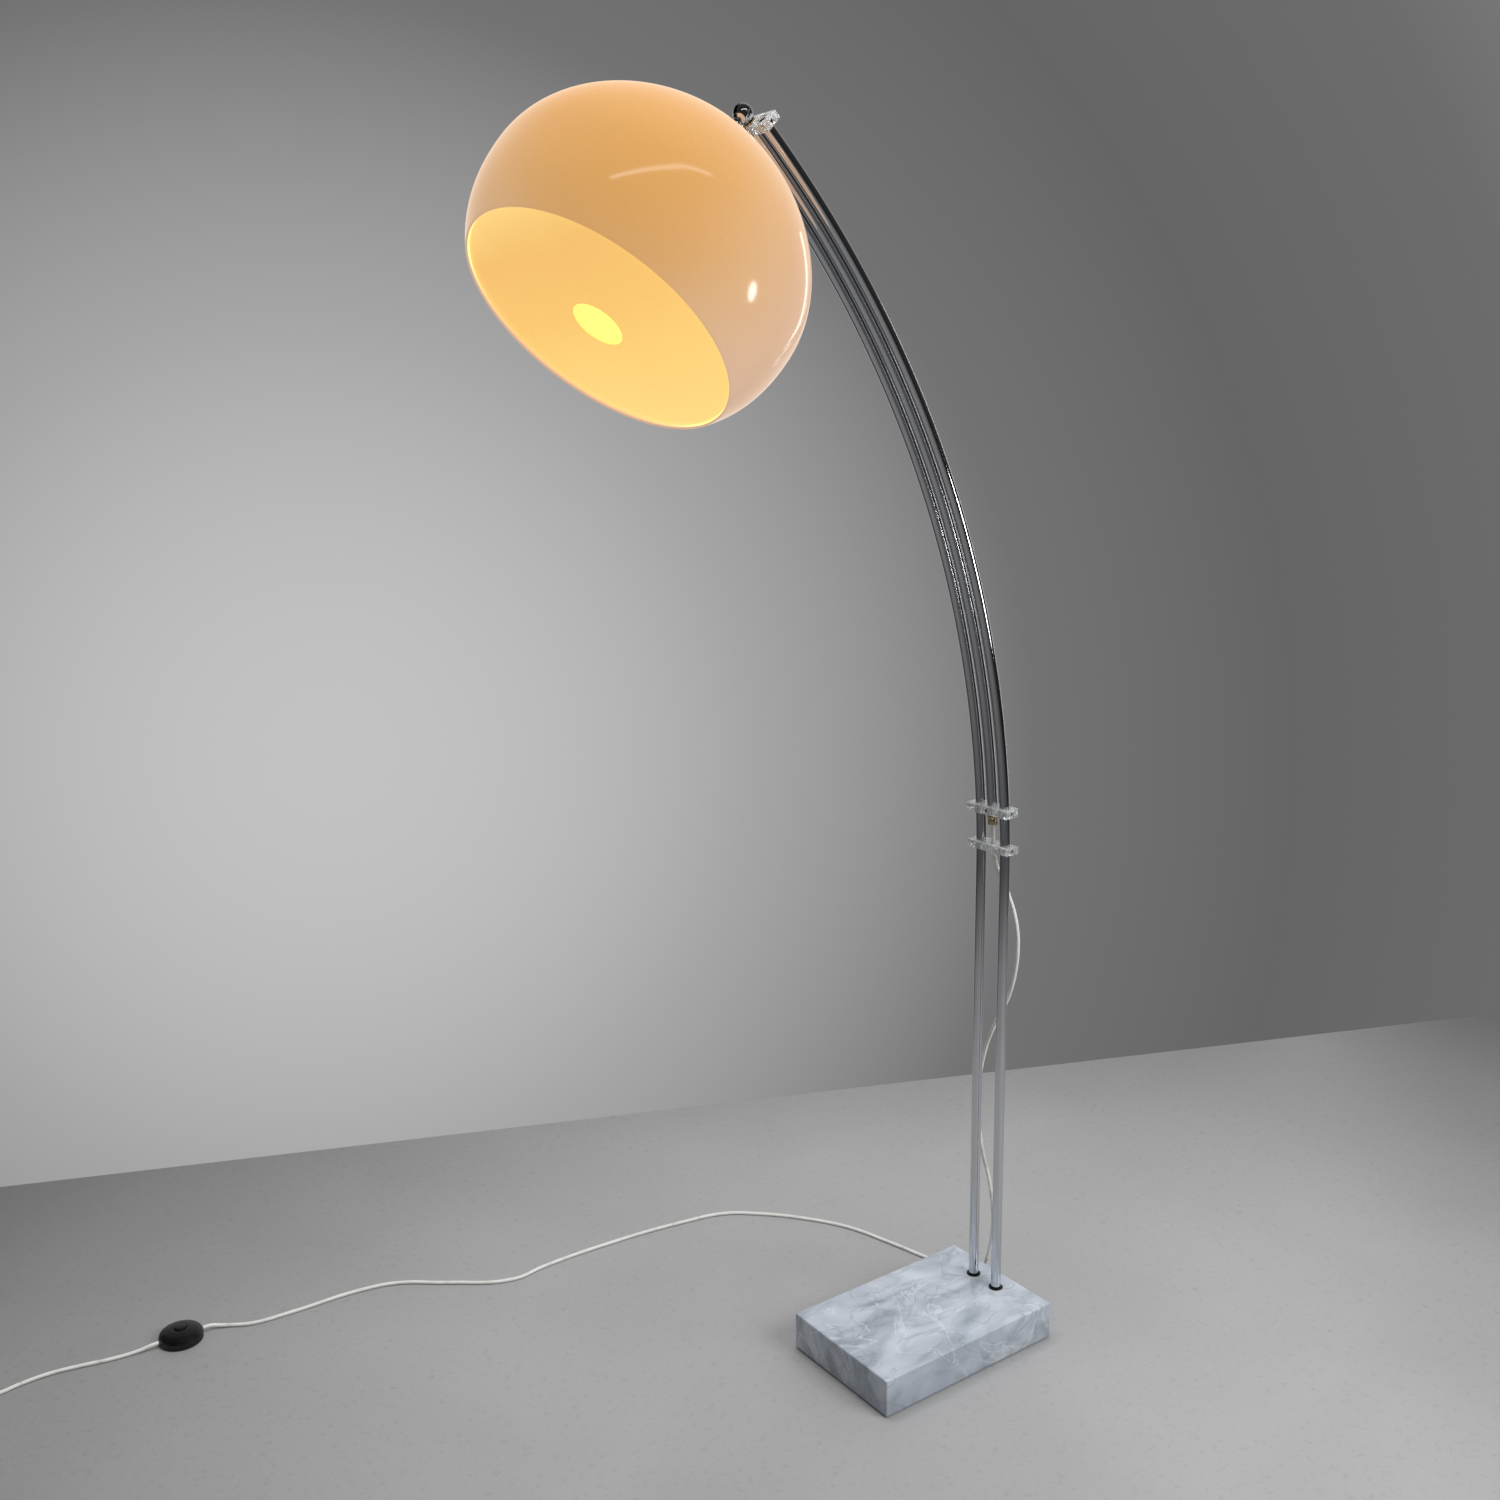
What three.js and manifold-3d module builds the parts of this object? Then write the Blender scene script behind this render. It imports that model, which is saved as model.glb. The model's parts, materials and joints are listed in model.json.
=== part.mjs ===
// Arc floor lamp: a marble block, two outer tubes that rise and bend over, a third tube between them
// that carries the lead, three clear clamp bars, and a dome shade on a slotted swivel ball.
// Millimetres, +Z up. The origin is the centre of the base's underside; the bend leans towards -X.

import * as THREE from 'three';
import { mergeVertices } from 'three/addons/utils/BufferGeometryUtils.js';
import Module from 'manifold-3d';

const wasm = await Module();
wasm.setup();

// ---------------------------------------------------------------- Driving dimensions

const GAP = 0.3; // left between pieces that touch

const BASE = { length: 348, width: 225, top: 62, felt: 1.5, corner: 5, edge: 2 };
const FOOT_FIXING = { head: 6.5, shank: 4, recess: 15, recessDepth: 20, washer: 1.6, tip: 90 };
const COLLAR = { radius: 11.5, height: 2.5 };

const TUBE = { radius: 8, bore: 6.5, pitch: 26, x: 136, sides: 10, boreSides: 8 };
const BEND = { start: 780, radius: 1450, steps: 22 };

// Clamp bars lie square across the tubes. "along" is how far round the bend their middle is.
const BAR = { length: 85, width: 27, corner: 1.5, hole: TUBE.radius + 0.5 };
const LOWER_BAR = { along: 31, thickness: 12 };
const UPPER_BAR = { along: 91, thickness: 14 };
const TOP_BAR = { along: 1166.5, thickness: 12 };
const MIDDLE_TUBE_DROP = 9; // how far the middle tube reaches below the upper bar's middle
const TUBE_END_RISE = 3; // how far the tubes reach above the top bar's middle

const END_SCREW = { radius: 2.5, length: 6.8 };
const FRONT_SCREW = { radius: 3, length: 4.6 };

const BALL = { radius: 13, rise: 19, flat: 7.9, slot: 7, slotFloor: 5.2 };
const PIVOT = { tongue: 6.4, eye: 4.9, hole: 2.3, screw: 2, screwHead: 3.4 };
const SWIVEL_AT_REST = THREE.MathUtils.degToRad(5.2); // turn of the shade towards -Y
const SHADE_DROP = THREE.MathUtils.degToRad(91.5); // from the tubes' end direction to the shade's axis

// The shade is measured along its own axis from the ball's centre.
const DOME = { widest: 248, radius: 211, rise: 188.5, drop: 106.6, rim: 180, wall: 3, segments: 32 };
const CROWN_PULL = { side: 0.41, top: 0.55 };
const LIP_PULL = { side: 0.44, rim: 0.32, angle: THREE.MathUtils.degToRad(34.9) };
const DIFFUSER = { radius: 177, hole: 33.5, edge: 350.3, crown: 354.2, wall: 2.5 };
const STEM = { radius: 5, bore: 3.2, start: 20.3, end: 76 };
const HOLDER = { radius: 20, top: 69.4, split: 84.5, mouth: 124, bore: 14, seat: 90 };
const BULB = { neck: 12.6, globe: 30, start: 118.3, end: 203, wall: 1.2 };

const LEAD = { radius: 3, sides: 8, innerRadius: 2.5, innerSides: 6 };
const SWITCH = { x: -969, y: 738, radius: 35, height: 22, button: 9.7 };
const COIL = { x: -1296, y: 790, inner: 24.7, outer: 37.3, height: 12.3 };
const PLUG = { x: -1331, y: 833.4, z: 7, length: 36, front: 35, rear: 14, thickness: 13.7 };

// The lead hangs from the middle tube, passes the lower bar, goes round the back of the base and
// lies along the floor to the foot switch.
const LEAD_TO_SWITCH = [
  [134.75, 0, 845.3], [135.6, 0, 830], [136.4, 0, 813], [138.2, -2, 793], [144, -10, 763],
  [152, -22, 731], [153.5, -38, 687], [154, -41, 650], [154, -37, 612], [154, -22, 562],
  [154, 4, 513], [155, 31, 445], [158, 45, 361], [164, 41, 279], [169, 26, 220],
  [174, 22, 165], [178, 27, 118], [183, 42, 68], [187, 60, 28], [190, 88, 5.5],
  [188, 122, 3.1], [173, 188, 3.1], [151, 279, 3.1], [131, 345, 3.1], [88, 418, 3.1],
  [25, 490, 3.1], [-25, 529, 3.1], [-105, 550, 3.1], [-265, 569, 3.1], [-388, 571, 3.1],
  [-448, 566, 3.1], [-548, 627, 3.1], [-615, 677, 3.1], [-670, 694, 3.1], [-804, 702, 3.1],
  [-860, 709, 3.1], [-904, 732, 4.2], [-921, 737.6, 7.6], [-933.4, 738, 8],
];
const LEAD_TO_COIL = [
  [-1004.6, 738, 8], [-1017, 738.4, 7.6], [-1034, 741, 4.2], [-1070, 745, 3.1], [-1122, 757, 3.1],
  [-1165, 765, 3.1], [-1205, 764, 3.1], [-1239, 758.5, 3.1], [-1274, 756, 3.1],
];
const LEAD_TO_PLUG = [[-1330, 811.6, 8.6], [-1330.6, 822, 7.8], [-1331, 833.1, 7.2]];
const LEAD_STEPS = { toSwitch: 68, toCoil: 8, toPlug: 2 };

// ---------------------------------------------------------------- Finishes

const FINISH = {
  chrome: { color: 0xc9ccd0, roughness: 0.08, metalness: 1 },
  steel: { color: 0x8e9094, roughness: 0.35, metalness: 1 },
  brass: { color: 0xb89a5a, roughness: 0.3, metalness: 1 },
  marble: { color: 0xb9c0ca, roughness: 0.15, metalness: 0 },
  clear: { color: 0xdfe6e8, roughness: 0.05, metalness: 0, transparent: true, opacity: 0.35 },
  shade: { color: 0xe6ac66, roughness: 0.12, metalness: 0 },
  diffuser: { color: 0xf6c878, roughness: 0.2, metalness: 0 },
  black: { color: 0x141415, roughness: 0.45, metalness: 0 },
  white: { color: 0xf1f0ec, roughness: 0.45, metalness: 0 },
  ceramic: { color: 0xf4f2ea, roughness: 0.25, metalness: 0 },
  glass: { color: 0xfff6dd, roughness: 0.1, metalness: 0, transparent: true, opacity: 0.6 },
  felt: { color: 0x2c2d2f, roughness: 0.95, metalness: 0 },
};

// ---------------------------------------------------------------- Building blocks

// Joins the corners that faces share, drops faces with no area and turns every face outwards.
function closed(geometry) {
  geometry.deleteAttribute('normal');
  geometry.deleteAttribute('uv');
  const merged = mergeVertices(geometry, 1e-4);
  const position = merged.attributes.position;
  const corner = (i) => new THREE.Vector3().fromBufferAttribute(position, i);
  const faces = [];
  let volume = 0;
  for (let i = 0; i < merged.index.count; i += 3) {
    const [a, b, c] = [0, 1, 2].map((k) => merged.index.getX(i + k));
    if (a === b || b === c || c === a) continue;
    faces.push([a, b, c]);
    volume += corner(a).dot(corner(b).cross(corner(c)));
  }
  if (volume < 0) faces.forEach((face) => face.reverse());
  merged.setIndex(faces.flat());
  return merged;
}

function toSolid(geometry) {
  const vertProperties = new Float32Array(geometry.attributes.position.array);
  const triVerts = new Uint32Array(geometry.index.array);
  return new wasm.Manifold(new wasm.Mesh({ numProp: 3, vertProperties, triVerts }));
}

function fromSolid(solid) {
  const mesh = solid.getMesh();
  const geometry = new THREE.BufferGeometry();
  geometry.setAttribute('position', new THREE.BufferAttribute(mesh.vertProperties, 3));
  geometry.setIndex(Array.from(mesh.triVerts));
  return geometry;
}

function cut(geometry, ...tools) {
  return fromSolid(tools.reduce((solid, tool) => solid.subtract(toSolid(tool)), toSolid(geometry)));
}

function join(geometry, ...others) {
  return fromSolid(others.reduce((solid, other) => solid.add(toSolid(other)), toSolid(geometry)));
}

// A solid of revolution about Z from [radius, height] pairs.
function turned(profile, segments) {
  const points = profile.map(([radius, height]) => new THREE.Vector2(radius, height));
  return closed(new THREE.LatheGeometry(points, segments).rotateX(Math.PI / 2));
}

function rod(radius, low, high, segments = 20) {
  return turned([[0, low], [radius, low], [radius, high], [0, high]], segments);
}

function sleeve(bore, radius, low, high, segments = 20) {
  return turned([[bore, low], [radius, low], [radius, high], [bore, high], [bore, low]], segments);
}

function box(x, y, z) {
  return closed(new THREE.BoxGeometry(x, y, z));
}

function polygon(radius, sides, turn = 0) {
  const corners = Array.from({ length: sides }, (_, i) => {
    const angle = turn + (2 * Math.PI * i) / sides;
    return new THREE.Vector2(radius * Math.cos(angle), radius * Math.sin(angle));
  });
  return new THREE.Shape(corners);
}

function extruded(shape, low, high) {
  const geometry = new THREE.ExtrudeGeometry(shape, { depth: high - low, bevelEnabled: false });
  return closed(geometry.translate(0, 0, low));
}

function swept(shape, path, steps) {
  return closed(new THREE.ExtrudeGeometry(shape, { steps, extrudePath: path, bevelEnabled: false }));
}

function hexNut(acrossFlats, bore, low, high) {
  const shape = polygon(acrossFlats / Math.sqrt(3), 6);
  shape.holes.push(polygon(bore, 12));
  return extruded(shape, low, high);
}

// A headless screw along +Z from the origin, with a round socket in its outer end.
function socketScrew({ radius, length }) {
  const socket = radius * 0.5;
  const depth = length * 0.4;
  const outer = [[0, 0], [radius, 0], [radius, length]];
  return turned([...outer, [socket, length], [socket, length - depth], [0, length - depth]], 12);
}

// A headless screw along +Z from the origin, with a driver slot across its outer end.
function slottedScrew({ radius, length }) {
  const slot = box(3 * radius, radius * 0.3, length * 0.5).translate(0, 0, length);
  return cut(rod(radius, 0, length, 14), slot);
}

function add(parent, name, geometry, finish) {
  const mesh = new THREE.Mesh(geometry, new THREE.MeshStandardMaterial(FINISH[finish]));
  mesh.name = name;
  parent.add(mesh);
  return mesh;
}

const SIDES = [['left', 1], ['right', -1]]; // left is towards +Y

const lamp = new THREE.Group();

// ---------------------------------------------------------------- Base

function roundedRectangle(length, width, corner) {
  const [x, y] = [length / 2, width / 2];
  const shape = new THREE.Shape();
  shape.moveTo(-x + corner, -y);
  shape.lineTo(x - corner, -y);
  shape.absarc(x - corner, -y + corner, corner, -Math.PI / 2, 0);
  shape.lineTo(x, y - corner);
  shape.absarc(x - corner, y - corner, corner, 0, Math.PI / 2);
  shape.lineTo(-x + corner, y);
  shape.absarc(-x + corner, y - corner, corner, Math.PI / 2, Math.PI);
  shape.lineTo(-x, -y + corner);
  shape.absarc(-x + corner, -y + corner, corner, Math.PI, 1.5 * Math.PI);
  return shape;
}

function marbleBlock() {
  const { length, width, top, edge, corner } = BASE;
  const low = BASE.felt + GAP;
  const outline = roundedRectangle(length - 2 * edge, width - 2 * edge, corner - edge);
  const depth = top - low - 2 * edge;
  const settings = { depth, bevelSize: edge, bevelThickness: edge, bevelSegments: 1, curveSegments: 3 };
  const block = closed(new THREE.ExtrudeGeometry(outline, settings).translate(0, 0, low + edge));
  const holes = SIDES.flatMap(([, side]) => [
    rod(FOOT_FIXING.shank + 1.5, 0, top + 1).translate(TUBE.x, side * TUBE.pitch, 0),
    rod(FOOT_FIXING.recess, 0, low + FOOT_FIXING.recessDepth).translate(TUBE.x, side * TUBE.pitch, 0),
  ]);
  return cut(block, ...holes);
}

function boltGeometry() {
  const { head, shank, tip, recessDepth, washer } = FOOT_FIXING;
  const seat = BASE.felt + GAP + recessDepth - GAP - washer - GAP;
  const low = seat - 2 * shank;
  const socket = 3;
  return turned([
    [0, low + shank], [socket, low + shank], [socket, low], [head, low],
    [head, seat], [shank, seat], [shank, tip], [0, tip],
  ], 16);
}

function addBase() {
  const insetLength = BASE.length - 8;
  const insetWidth = BASE.width - 8;
  const felt = new THREE.Shape([
    new THREE.Vector2(-insetLength / 2, -insetWidth / 2), new THREE.Vector2(insetLength / 2, -insetWidth / 2),
    new THREE.Vector2(insetLength / 2, insetWidth / 2), new THREE.Vector2(-insetLength / 2, insetWidth / 2),
  ]);
  add(lamp, 'base_felt', extruded(felt, 0, BASE.felt), 'felt');
  add(lamp, 'marble_base', marbleBlock(), 'marble');

  const ceiling = BASE.felt + GAP + FOOT_FIXING.recessDepth;
  const foot = BASE.top + GAP;
  for (const [name, side] of SIDES) {
    const at = new THREE.Group();
    at.position.set(TUBE.x, side * TUBE.pitch, 0);
    lamp.add(at);
    const { shank, recess, washer } = FOOT_FIXING;
    add(at, `base_bolt_${name}`, boltGeometry(), 'steel');
    const washerTop = ceiling - GAP;
    add(at, `base_washer_${name}`, sleeve(shank + 0.5, recess - 2, washerTop - washer, washerTop), 'steel');
    add(at, `foot_plug_${name}`, sleeve(shank + GAP, TUBE.bore - GAP, foot, foot + 34, 16), 'brass');
    const inner = TUBE.radius + GAP;
    const { radius, height } = COLLAR;
    add(at, `tube_collar_${name}`, turned([
      [inner, foot], [radius, foot], [radius, foot + height * 0.5], [radius - 1.2, foot + height],
      [inner, foot + height], [inner, foot],
    ], 16), 'black');
  }
}

// ---------------------------------------------------------------- Tubes

const heading = (along) => along / BEND.radius; // angle from straight up, towards -X

function onBend(along, y = 0) {
  const angle = heading(along);
  const x = TUBE.x - BEND.radius * (1 - Math.cos(angle));
  return new THREE.Vector3(x, y, BEND.start + BEND.radius * Math.sin(angle));
}

// A tube's centreline: one straight step up from "foot" where there is one, then equal steps of bend.
class TubePath extends THREE.Curve {
  constructor({ y = 0, foot = null, from = 0, to }) {
    super();
    Object.assign(this, { y, foot, from, to });
    this.straightSteps = foot === null ? 0 : 1;
    this.steps = BEND.steps + this.straightSteps;
  }

  getUtoTmapping(u) {
    return u;
  }

  getPoint(t) {
    const step = t * this.steps;
    if (step < this.straightSteps) {
      const height = THREE.MathUtils.lerp(this.foot, BEND.start, step);
      return new THREE.Vector3(TUBE.x, this.y, height);
    }
    const share = (step - this.straightSteps) / BEND.steps;
    return onBend(THREE.MathUtils.lerp(this.from, this.to, share), this.y);
  }
}

function bentTube(settings) {
  const path = new TubePath(settings);
  const section = polygon(TUBE.radius, TUBE.sides, Math.PI / TUBE.sides);
  section.holes.push(polygon(TUBE.bore / Math.cos(Math.PI / TUBE.boreSides), TUBE.boreSides));
  return swept(section, path, path.steps);
}

function addTubes() {
  const to = TOP_BAR.along + TUBE_END_RISE;
  for (const [name, side] of SIDES) {
    const settings = { y: side * TUBE.pitch, foot: BASE.top + GAP, to };
    add(lamp, `tube_${name}`, bentTube(settings), 'chrome');
  }
  add(lamp, 'tube_middle', bentTube({ from: UPPER_BAR.along - MIDDLE_TUBE_DROP, to }), 'chrome');
}

// A frame on the bend: origin on the centreline, local Z along the tubes, local -X on the shade's side.
function frameOnBend(along) {
  const frame = new THREE.Group();
  frame.position.copy(onBend(along));
  frame.rotation.y = -heading(along);
  lamp.add(frame);
  return frame;
}

// ---------------------------------------------------------------- Clamp bars

function chamferedRectangle(x, y, c) {
  return new THREE.Shape([
    [-x + c, -y], [x - c, -y], [x, -y + c], [x, y - c], [x - c, y], [-x + c, y], [-x, y - c], [-x, -y + c],
  ].map(([u, v]) => new THREE.Vector2(u, v)));
}

function clampBar(thickness, middleHole, frontScrew) {
  const half = thickness / 2;
  const outline = chamferedRectangle(BAR.width / 2, BAR.length / 2, BAR.corner);
  const through = (radius, y) => rod(radius, -thickness, thickness, 16).translate(0, y, 0);
  const endHole = (side) => {
    const hole = rod(END_SCREW.radius + GAP, 0, BAR.length / 2, 12).rotateX(-side * Math.PI / 2);
    return hole.translate(0, side * (TUBE.pitch + TUBE.radius - 1), 0);
  };
  const tools = [
    through(BAR.hole, TUBE.pitch), through(BAR.hole, -TUBE.pitch), through(middleHole, 0),
    endHole(1), endHole(-1),
  ];
  if (frontScrew) {
    const hole = rod(FRONT_SCREW.radius + GAP, 0, BAR.width, 14).rotateY(-Math.PI / 2);
    tools.push(hole.translate(1 - TUBE.radius, 0, 0));
  }
  return cut(extruded(outline, -half, half), ...tools);
}

function addClampBar(name, { along, thickness }, { middleHole = BAR.hole, frontScrew = true }) {
  const frame = frameOnBend(along);
  add(frame, `${name}_bar`, clampBar(thickness, middleHole, frontScrew), 'clear');
  for (const [sideName, side] of SIDES) {
    const screw = add(frame, `${name}_bar_screw_${sideName}`, socketScrew(END_SCREW), 'steel');
    screw.rotation.x = -side * Math.PI / 2;
    screw.position.y = side * (TUBE.pitch + TUBE.radius + 2 * GAP);
  }
  if (frontScrew) {
    const screw = add(frame, `${name}_bar_screw_middle`, slottedScrew(FRONT_SCREW), 'brass');
    screw.rotation.y = -Math.PI / 2;
    screw.position.x = -(TUBE.radius + 2 * GAP);
  }
  return frame;
}

// ---------------------------------------------------------------- Where the lead comes out

function addCordGrip(frame) {
  const tubeEnd = -MIDDLE_TUBE_DROP;
  const [nipple, bore] = [5, LEAD.radius + 0.2];
  const snug = TUBE.bore - 2 * GAP;
  const nippleEnd = -20;
  add(frame, 'cord_nipple', turned([
    [bore, nippleEnd], [nipple, nippleEnd], [nipple, tubeEnd], [snug, tubeEnd], [snug, 8], [bore, 8],
    [bore, nippleEnd],
  ], 16), 'brass');
  add(frame, 'nipple_nut', hexNut(14, nipple + GAP, tubeEnd - 4.5, tubeEnd - GAP), 'brass');

  const [top, low, radius] = [tubeEnd - 4.8, -25.3, 7.5];
  const body = turned([
    [bore, low], [radius - 1.5, low], [radius, low + 1.5], [radius, top - 1], [radius - 1, top],
    [nipple + GAP, top], [nipple + GAP, nippleEnd - GAP], [bore, nippleEnd - GAP], [bore, low],
  ], 20);
  const screwHole = rod(1.8, 0, radius, 10).rotateY(-Math.PI / 2).translate(-nipple, 0, -17);
  add(frame, 'cord_grip', cut(body, screwHole), 'brass');
  const screw = add(frame, 'cord_grip_screw', slottedScrew({ radius: 1.5, length: 3.4 }), 'brass');
  screw.rotation.y = -Math.PI / 2;
  screw.position.set(-(nipple + 2 * GAP), 0, -17);
}

function addInnerLead() {
  const path = new TubePath({ from: UPPER_BAR.along - 25.2, to: TOP_BAR.along + 10 });
  add(lamp, 'inner_lead', swept(polygon(LEAD.innerRadius, LEAD.innerSides), path, path.steps), 'white');
}

// ---------------------------------------------------------------- Swivel ball

function swivelBall() {
  const { radius, flat, slot, slotFloor, rise } = BALL;
  const ball = closed(new THREE.SphereGeometry(radius, 20, 12).rotateX(Math.PI / 2));
  const below = box(4 * radius, 4 * radius, 2 * radius).translate(0, 0, flat - rise - radius);
  const nippleHole = rod(4.8, -radius - 1, -slotFloor + 1, 14);
  const opening = 2 * radius;
  const tongueSlot = box(opening, slot, opening).translate(
    slotFloor - opening / 2, 0, opening / 2 - slotFloor);
  const pin = rod(PIVOT.hole, -radius - 1, radius + 1, 12).rotateX(Math.PI / 2);
  const headRecess = rod(PIVOT.screwHead + GAP, 8, radius + 1, 12).rotateX(Math.PI / 2);
  return cut(ball, below, nippleHole, tongueSlot, pin, headRecess);
}

function addSwivel(topFrame) {
  const seat = TOP_BAR.thickness / 2 + GAP;
  const [snug, bore, flange, stud] = [TUBE.bore - 2 * GAP, 3.2, 9.5, 4.4];
  add(topFrame, 'ball_nipple', turned([
    [bore, -22], [snug, -22], [snug, seat], [flange, seat], [flange, seat + 1.2],
    [stud, seat + 1.2], [stud, 12.5], [bore, 12.5], [bore, -22],
  ], 20), 'brass');

  const swivel = new THREE.Group();
  swivel.position.z = BALL.rise;
  swivel.rotation.z = SWIVEL_AT_REST;
  topFrame.add(swivel);
  add(swivel, 'swivel_ball', swivelBall(), 'chrome');
  const { screw, screwHead } = PIVOT;
  const pivot = turned([
    [0, -10.5], [screw, -10.5], [screw, 8.3], [screwHead, 8.3], [screwHead, 10], [0, 10],
  ], 12);
  add(swivel, 'pivot_screw', pivot, 'steel').rotation.x = Math.PI / 2;
  return swivel;
}

// ---------------------------------------------------------------- Shade

function tongue() {
  const { tongue: thickness, eye, hole } = PIVOT;
  const half = thickness / 2;
  const round = rod(eye, -half, half, 20).rotateX(Math.PI / 2);
  const arm = box(7.6, thickness, 15).translate(0, 0, 7.5);
  const shoulder = turned([[0, 14], [5.2, 14], [6.2, 15], [6.2, 20], [0, 20]], 20);
  const pin = rod(hole, -thickness, thickness, 12).rotateX(Math.PI / 2);
  return cut(join(round, arm, shoulder), pin);
}

// The dome's outer surface as a curve from its top hole to its rim, in [distance along axis, radius].
function domeOutline() {
  const { widest, radius, rise, drop, rim } = DOME;
  const crown = new THREE.CubicBezierCurve(
    new THREE.Vector2(widest - rise, 0), new THREE.Vector2(widest - rise, CROWN_PULL.side * radius),
    new THREE.Vector2(widest - CROWN_PULL.top * rise, radius), new THREE.Vector2(widest, radius));
  const pull = LIP_PULL.rim * drop;
  const lip = new THREE.CubicBezierCurve(
    new THREE.Vector2(widest, radius), new THREE.Vector2(widest + LIP_PULL.side * drop, radius),
    new THREE.Vector2(widest + drop - pull * Math.cos(LIP_PULL.angle), rim + pull * Math.sin(LIP_PULL.angle)),
    new THREE.Vector2(widest + drop, rim));
  const [crownSteps, lipSteps] = [9, 5];
  const points = [...crown.getPoints(crownSteps), ...lip.getPoints(lipSteps).slice(1)];
  const tangents = [
    ...points.slice(0, crownSteps + 1).map((_, i) => crown.getTangent(i / crownSteps)),
    ...points.slice(crownSteps + 1).map((_, i) => lip.getTangent((i + 1) / lipSteps)),
  ];
  return points.map((point, i) => ({ point, inward: new THREE.Vector2(tangents[i].y, -tangents[i].x) }));
}

function dome() {
  const hole = STEM.radius + 2 * GAP;
  const outline = domeOutline();
  const outer = outline.map(({ point }) => [point.y, point.x]);
  const inner = outline.map(({ point, inward }) => {
    const moved = point.clone().addScaledVector(inward, DOME.wall);
    return [moved.y, moved.x];
  });
  outer[0][0] = hole;
  inner[0][0] = hole;
  return turned([...outer, ...inner.reverse(), outer[0]], DOME.segments);
}

function diffuser() {
  const { radius, hole, edge, crown, wall } = DIFFUSER;
  const steps = 4;
  const face = Array.from({ length: steps + 1 }, (_, i) => {
    const r = THREE.MathUtils.lerp(radius, hole, i / steps);
    return [r, crown - (crown - edge) * (r / radius) ** 2];
  });
  const back = face.map(([r, z]) => [r, z - wall]).reverse();
  return turned([...face, ...back, face[0]], DOME.segments);
}

function bulbGlass() {
  const { neck, globe, start, end, wall } = BULB;
  const middle = end - globe;
  const ball = Array.from({ length: 7 }, (_, i) => {
    const angle = -0.7 + ((Math.PI / 2 + 0.7) * i) / 6;
    return [Math.cos(angle), Math.sin(angle)];
  });
  const outer = [[neck, start], [neck, start + 12], ...ball.map(([c, s]) => [c * globe, middle + s * globe])];
  const inside = globe - wall;
  const inner = [
    [neck - wall, start], [neck - wall, start + 12],
    ...ball.map(([c, s]) => [c * inside, middle + s * inside]),
  ].reverse();
  outer[outer.length - 1][0] = 0;
  inner[0][0] = 0;
  return turned([...outer, ...inner, outer[0]], 16);
}

function addShade(swivel) {
  const shade = new THREE.Group();
  shade.rotation.y = -SHADE_DROP;
  swivel.add(shade);

  add(shade, 'pivot_tongue', tongue(), 'chrome');
  add(shade, 'shade_stem', sleeve(STEM.bore, STEM.radius, STEM.start, STEM.end, 16), 'chrome');

  const top = DOME.widest - DOME.rise;
  const hole = STEM.radius + GAP;
  add(shade, 'shade_cap', turned([
    [hole, top - 10], [7.5, top - 10], [12, top - 7.5], [15.5, top - 3.5], [16, top - GAP], [hole, top - GAP],
    [hole, top - 10],
  ], 20), 'chrome');
  const under = top + DOME.wall + 0.8; // the dome curves away below its hole
  add(shade, 'shade_washer', sleeve(hole, 10, under, under + 1), 'steel');
  add(shade, 'shade_nut', hexNut(17, hole, under + 1 + GAP, HOLDER.top - GAP), 'brass');

  const { radius, top: capTop, split, mouth, bore, seat } = HOLDER;
  add(shade, 'lampholder_cap', turned([
    [hole, capTop], [12, capTop], [17, capTop + 4], [radius, capTop + 9], [radius, split - GAP],
    [radius - 2.5, split - GAP], [radius - 2.5, capTop + 9.5], [hole, capTop + 4], [hole, capTop],
  ], 20), 'white');
  add(shade, 'lampholder_body', turned([
    [0, split], [radius, split], [radius, mouth - 2], [radius - 1, mouth], [bore, mouth], [bore, seat],
    [0, seat],
  ], 20), 'ceramic');
  add(shade, 'lampholder_contact', rod(5, seat + GAP, seat + 2.2, 12), 'brass');
  add(shade, 'bulb_cap', turned([
    [0, seat + 2.5], [5, seat + 2.5], [9, seat + 5], [12.8, seat + 8], [12.8, BULB.start - GAP],
    [0, BULB.start - GAP],
  ], 16), 'steel');
  add(shade, 'bulb_glass', bulbGlass(), 'glass');
  add(shade, 'shade_dome', dome(), 'shade');
  add(shade, 'inner_diffuser', diffuser(), 'diffuser');
}

// ---------------------------------------------------------------- Lead, foot switch, plug

function addLead() {
  const run = (name, route, steps) => {
    const points = route.map(([x, y, z]) => new THREE.Vector3(x, y, z));
    const path = new THREE.CatmullRomCurve3(points, false, 'centripetal');
    add(lamp, name, swept(polygon(LEAD.radius, LEAD.sides), path, steps), 'white');
  };
  run('cord_to_switch', LEAD_TO_SWITCH, LEAD_STEPS.toSwitch);
  run('cord_to_coil', LEAD_TO_COIL, LEAD_STEPS.toCoil);
  run('cord_to_plug', LEAD_TO_PLUG, LEAD_STEPS.toPlug);

  const { x, y, inner, outer, height } = COIL;
  const round = 2;
  const ring = turned([
    [inner, round], [inner + round, 0], [outer - round, 0], [outer, round], [outer, height - round],
    [outer - round, height], [inner + round, height], [inner, height - round], [inner, round],
  ], 24);
  add(lamp, 'cord_coil', ring, 'white').position.set(x, y, 0);
}

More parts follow.
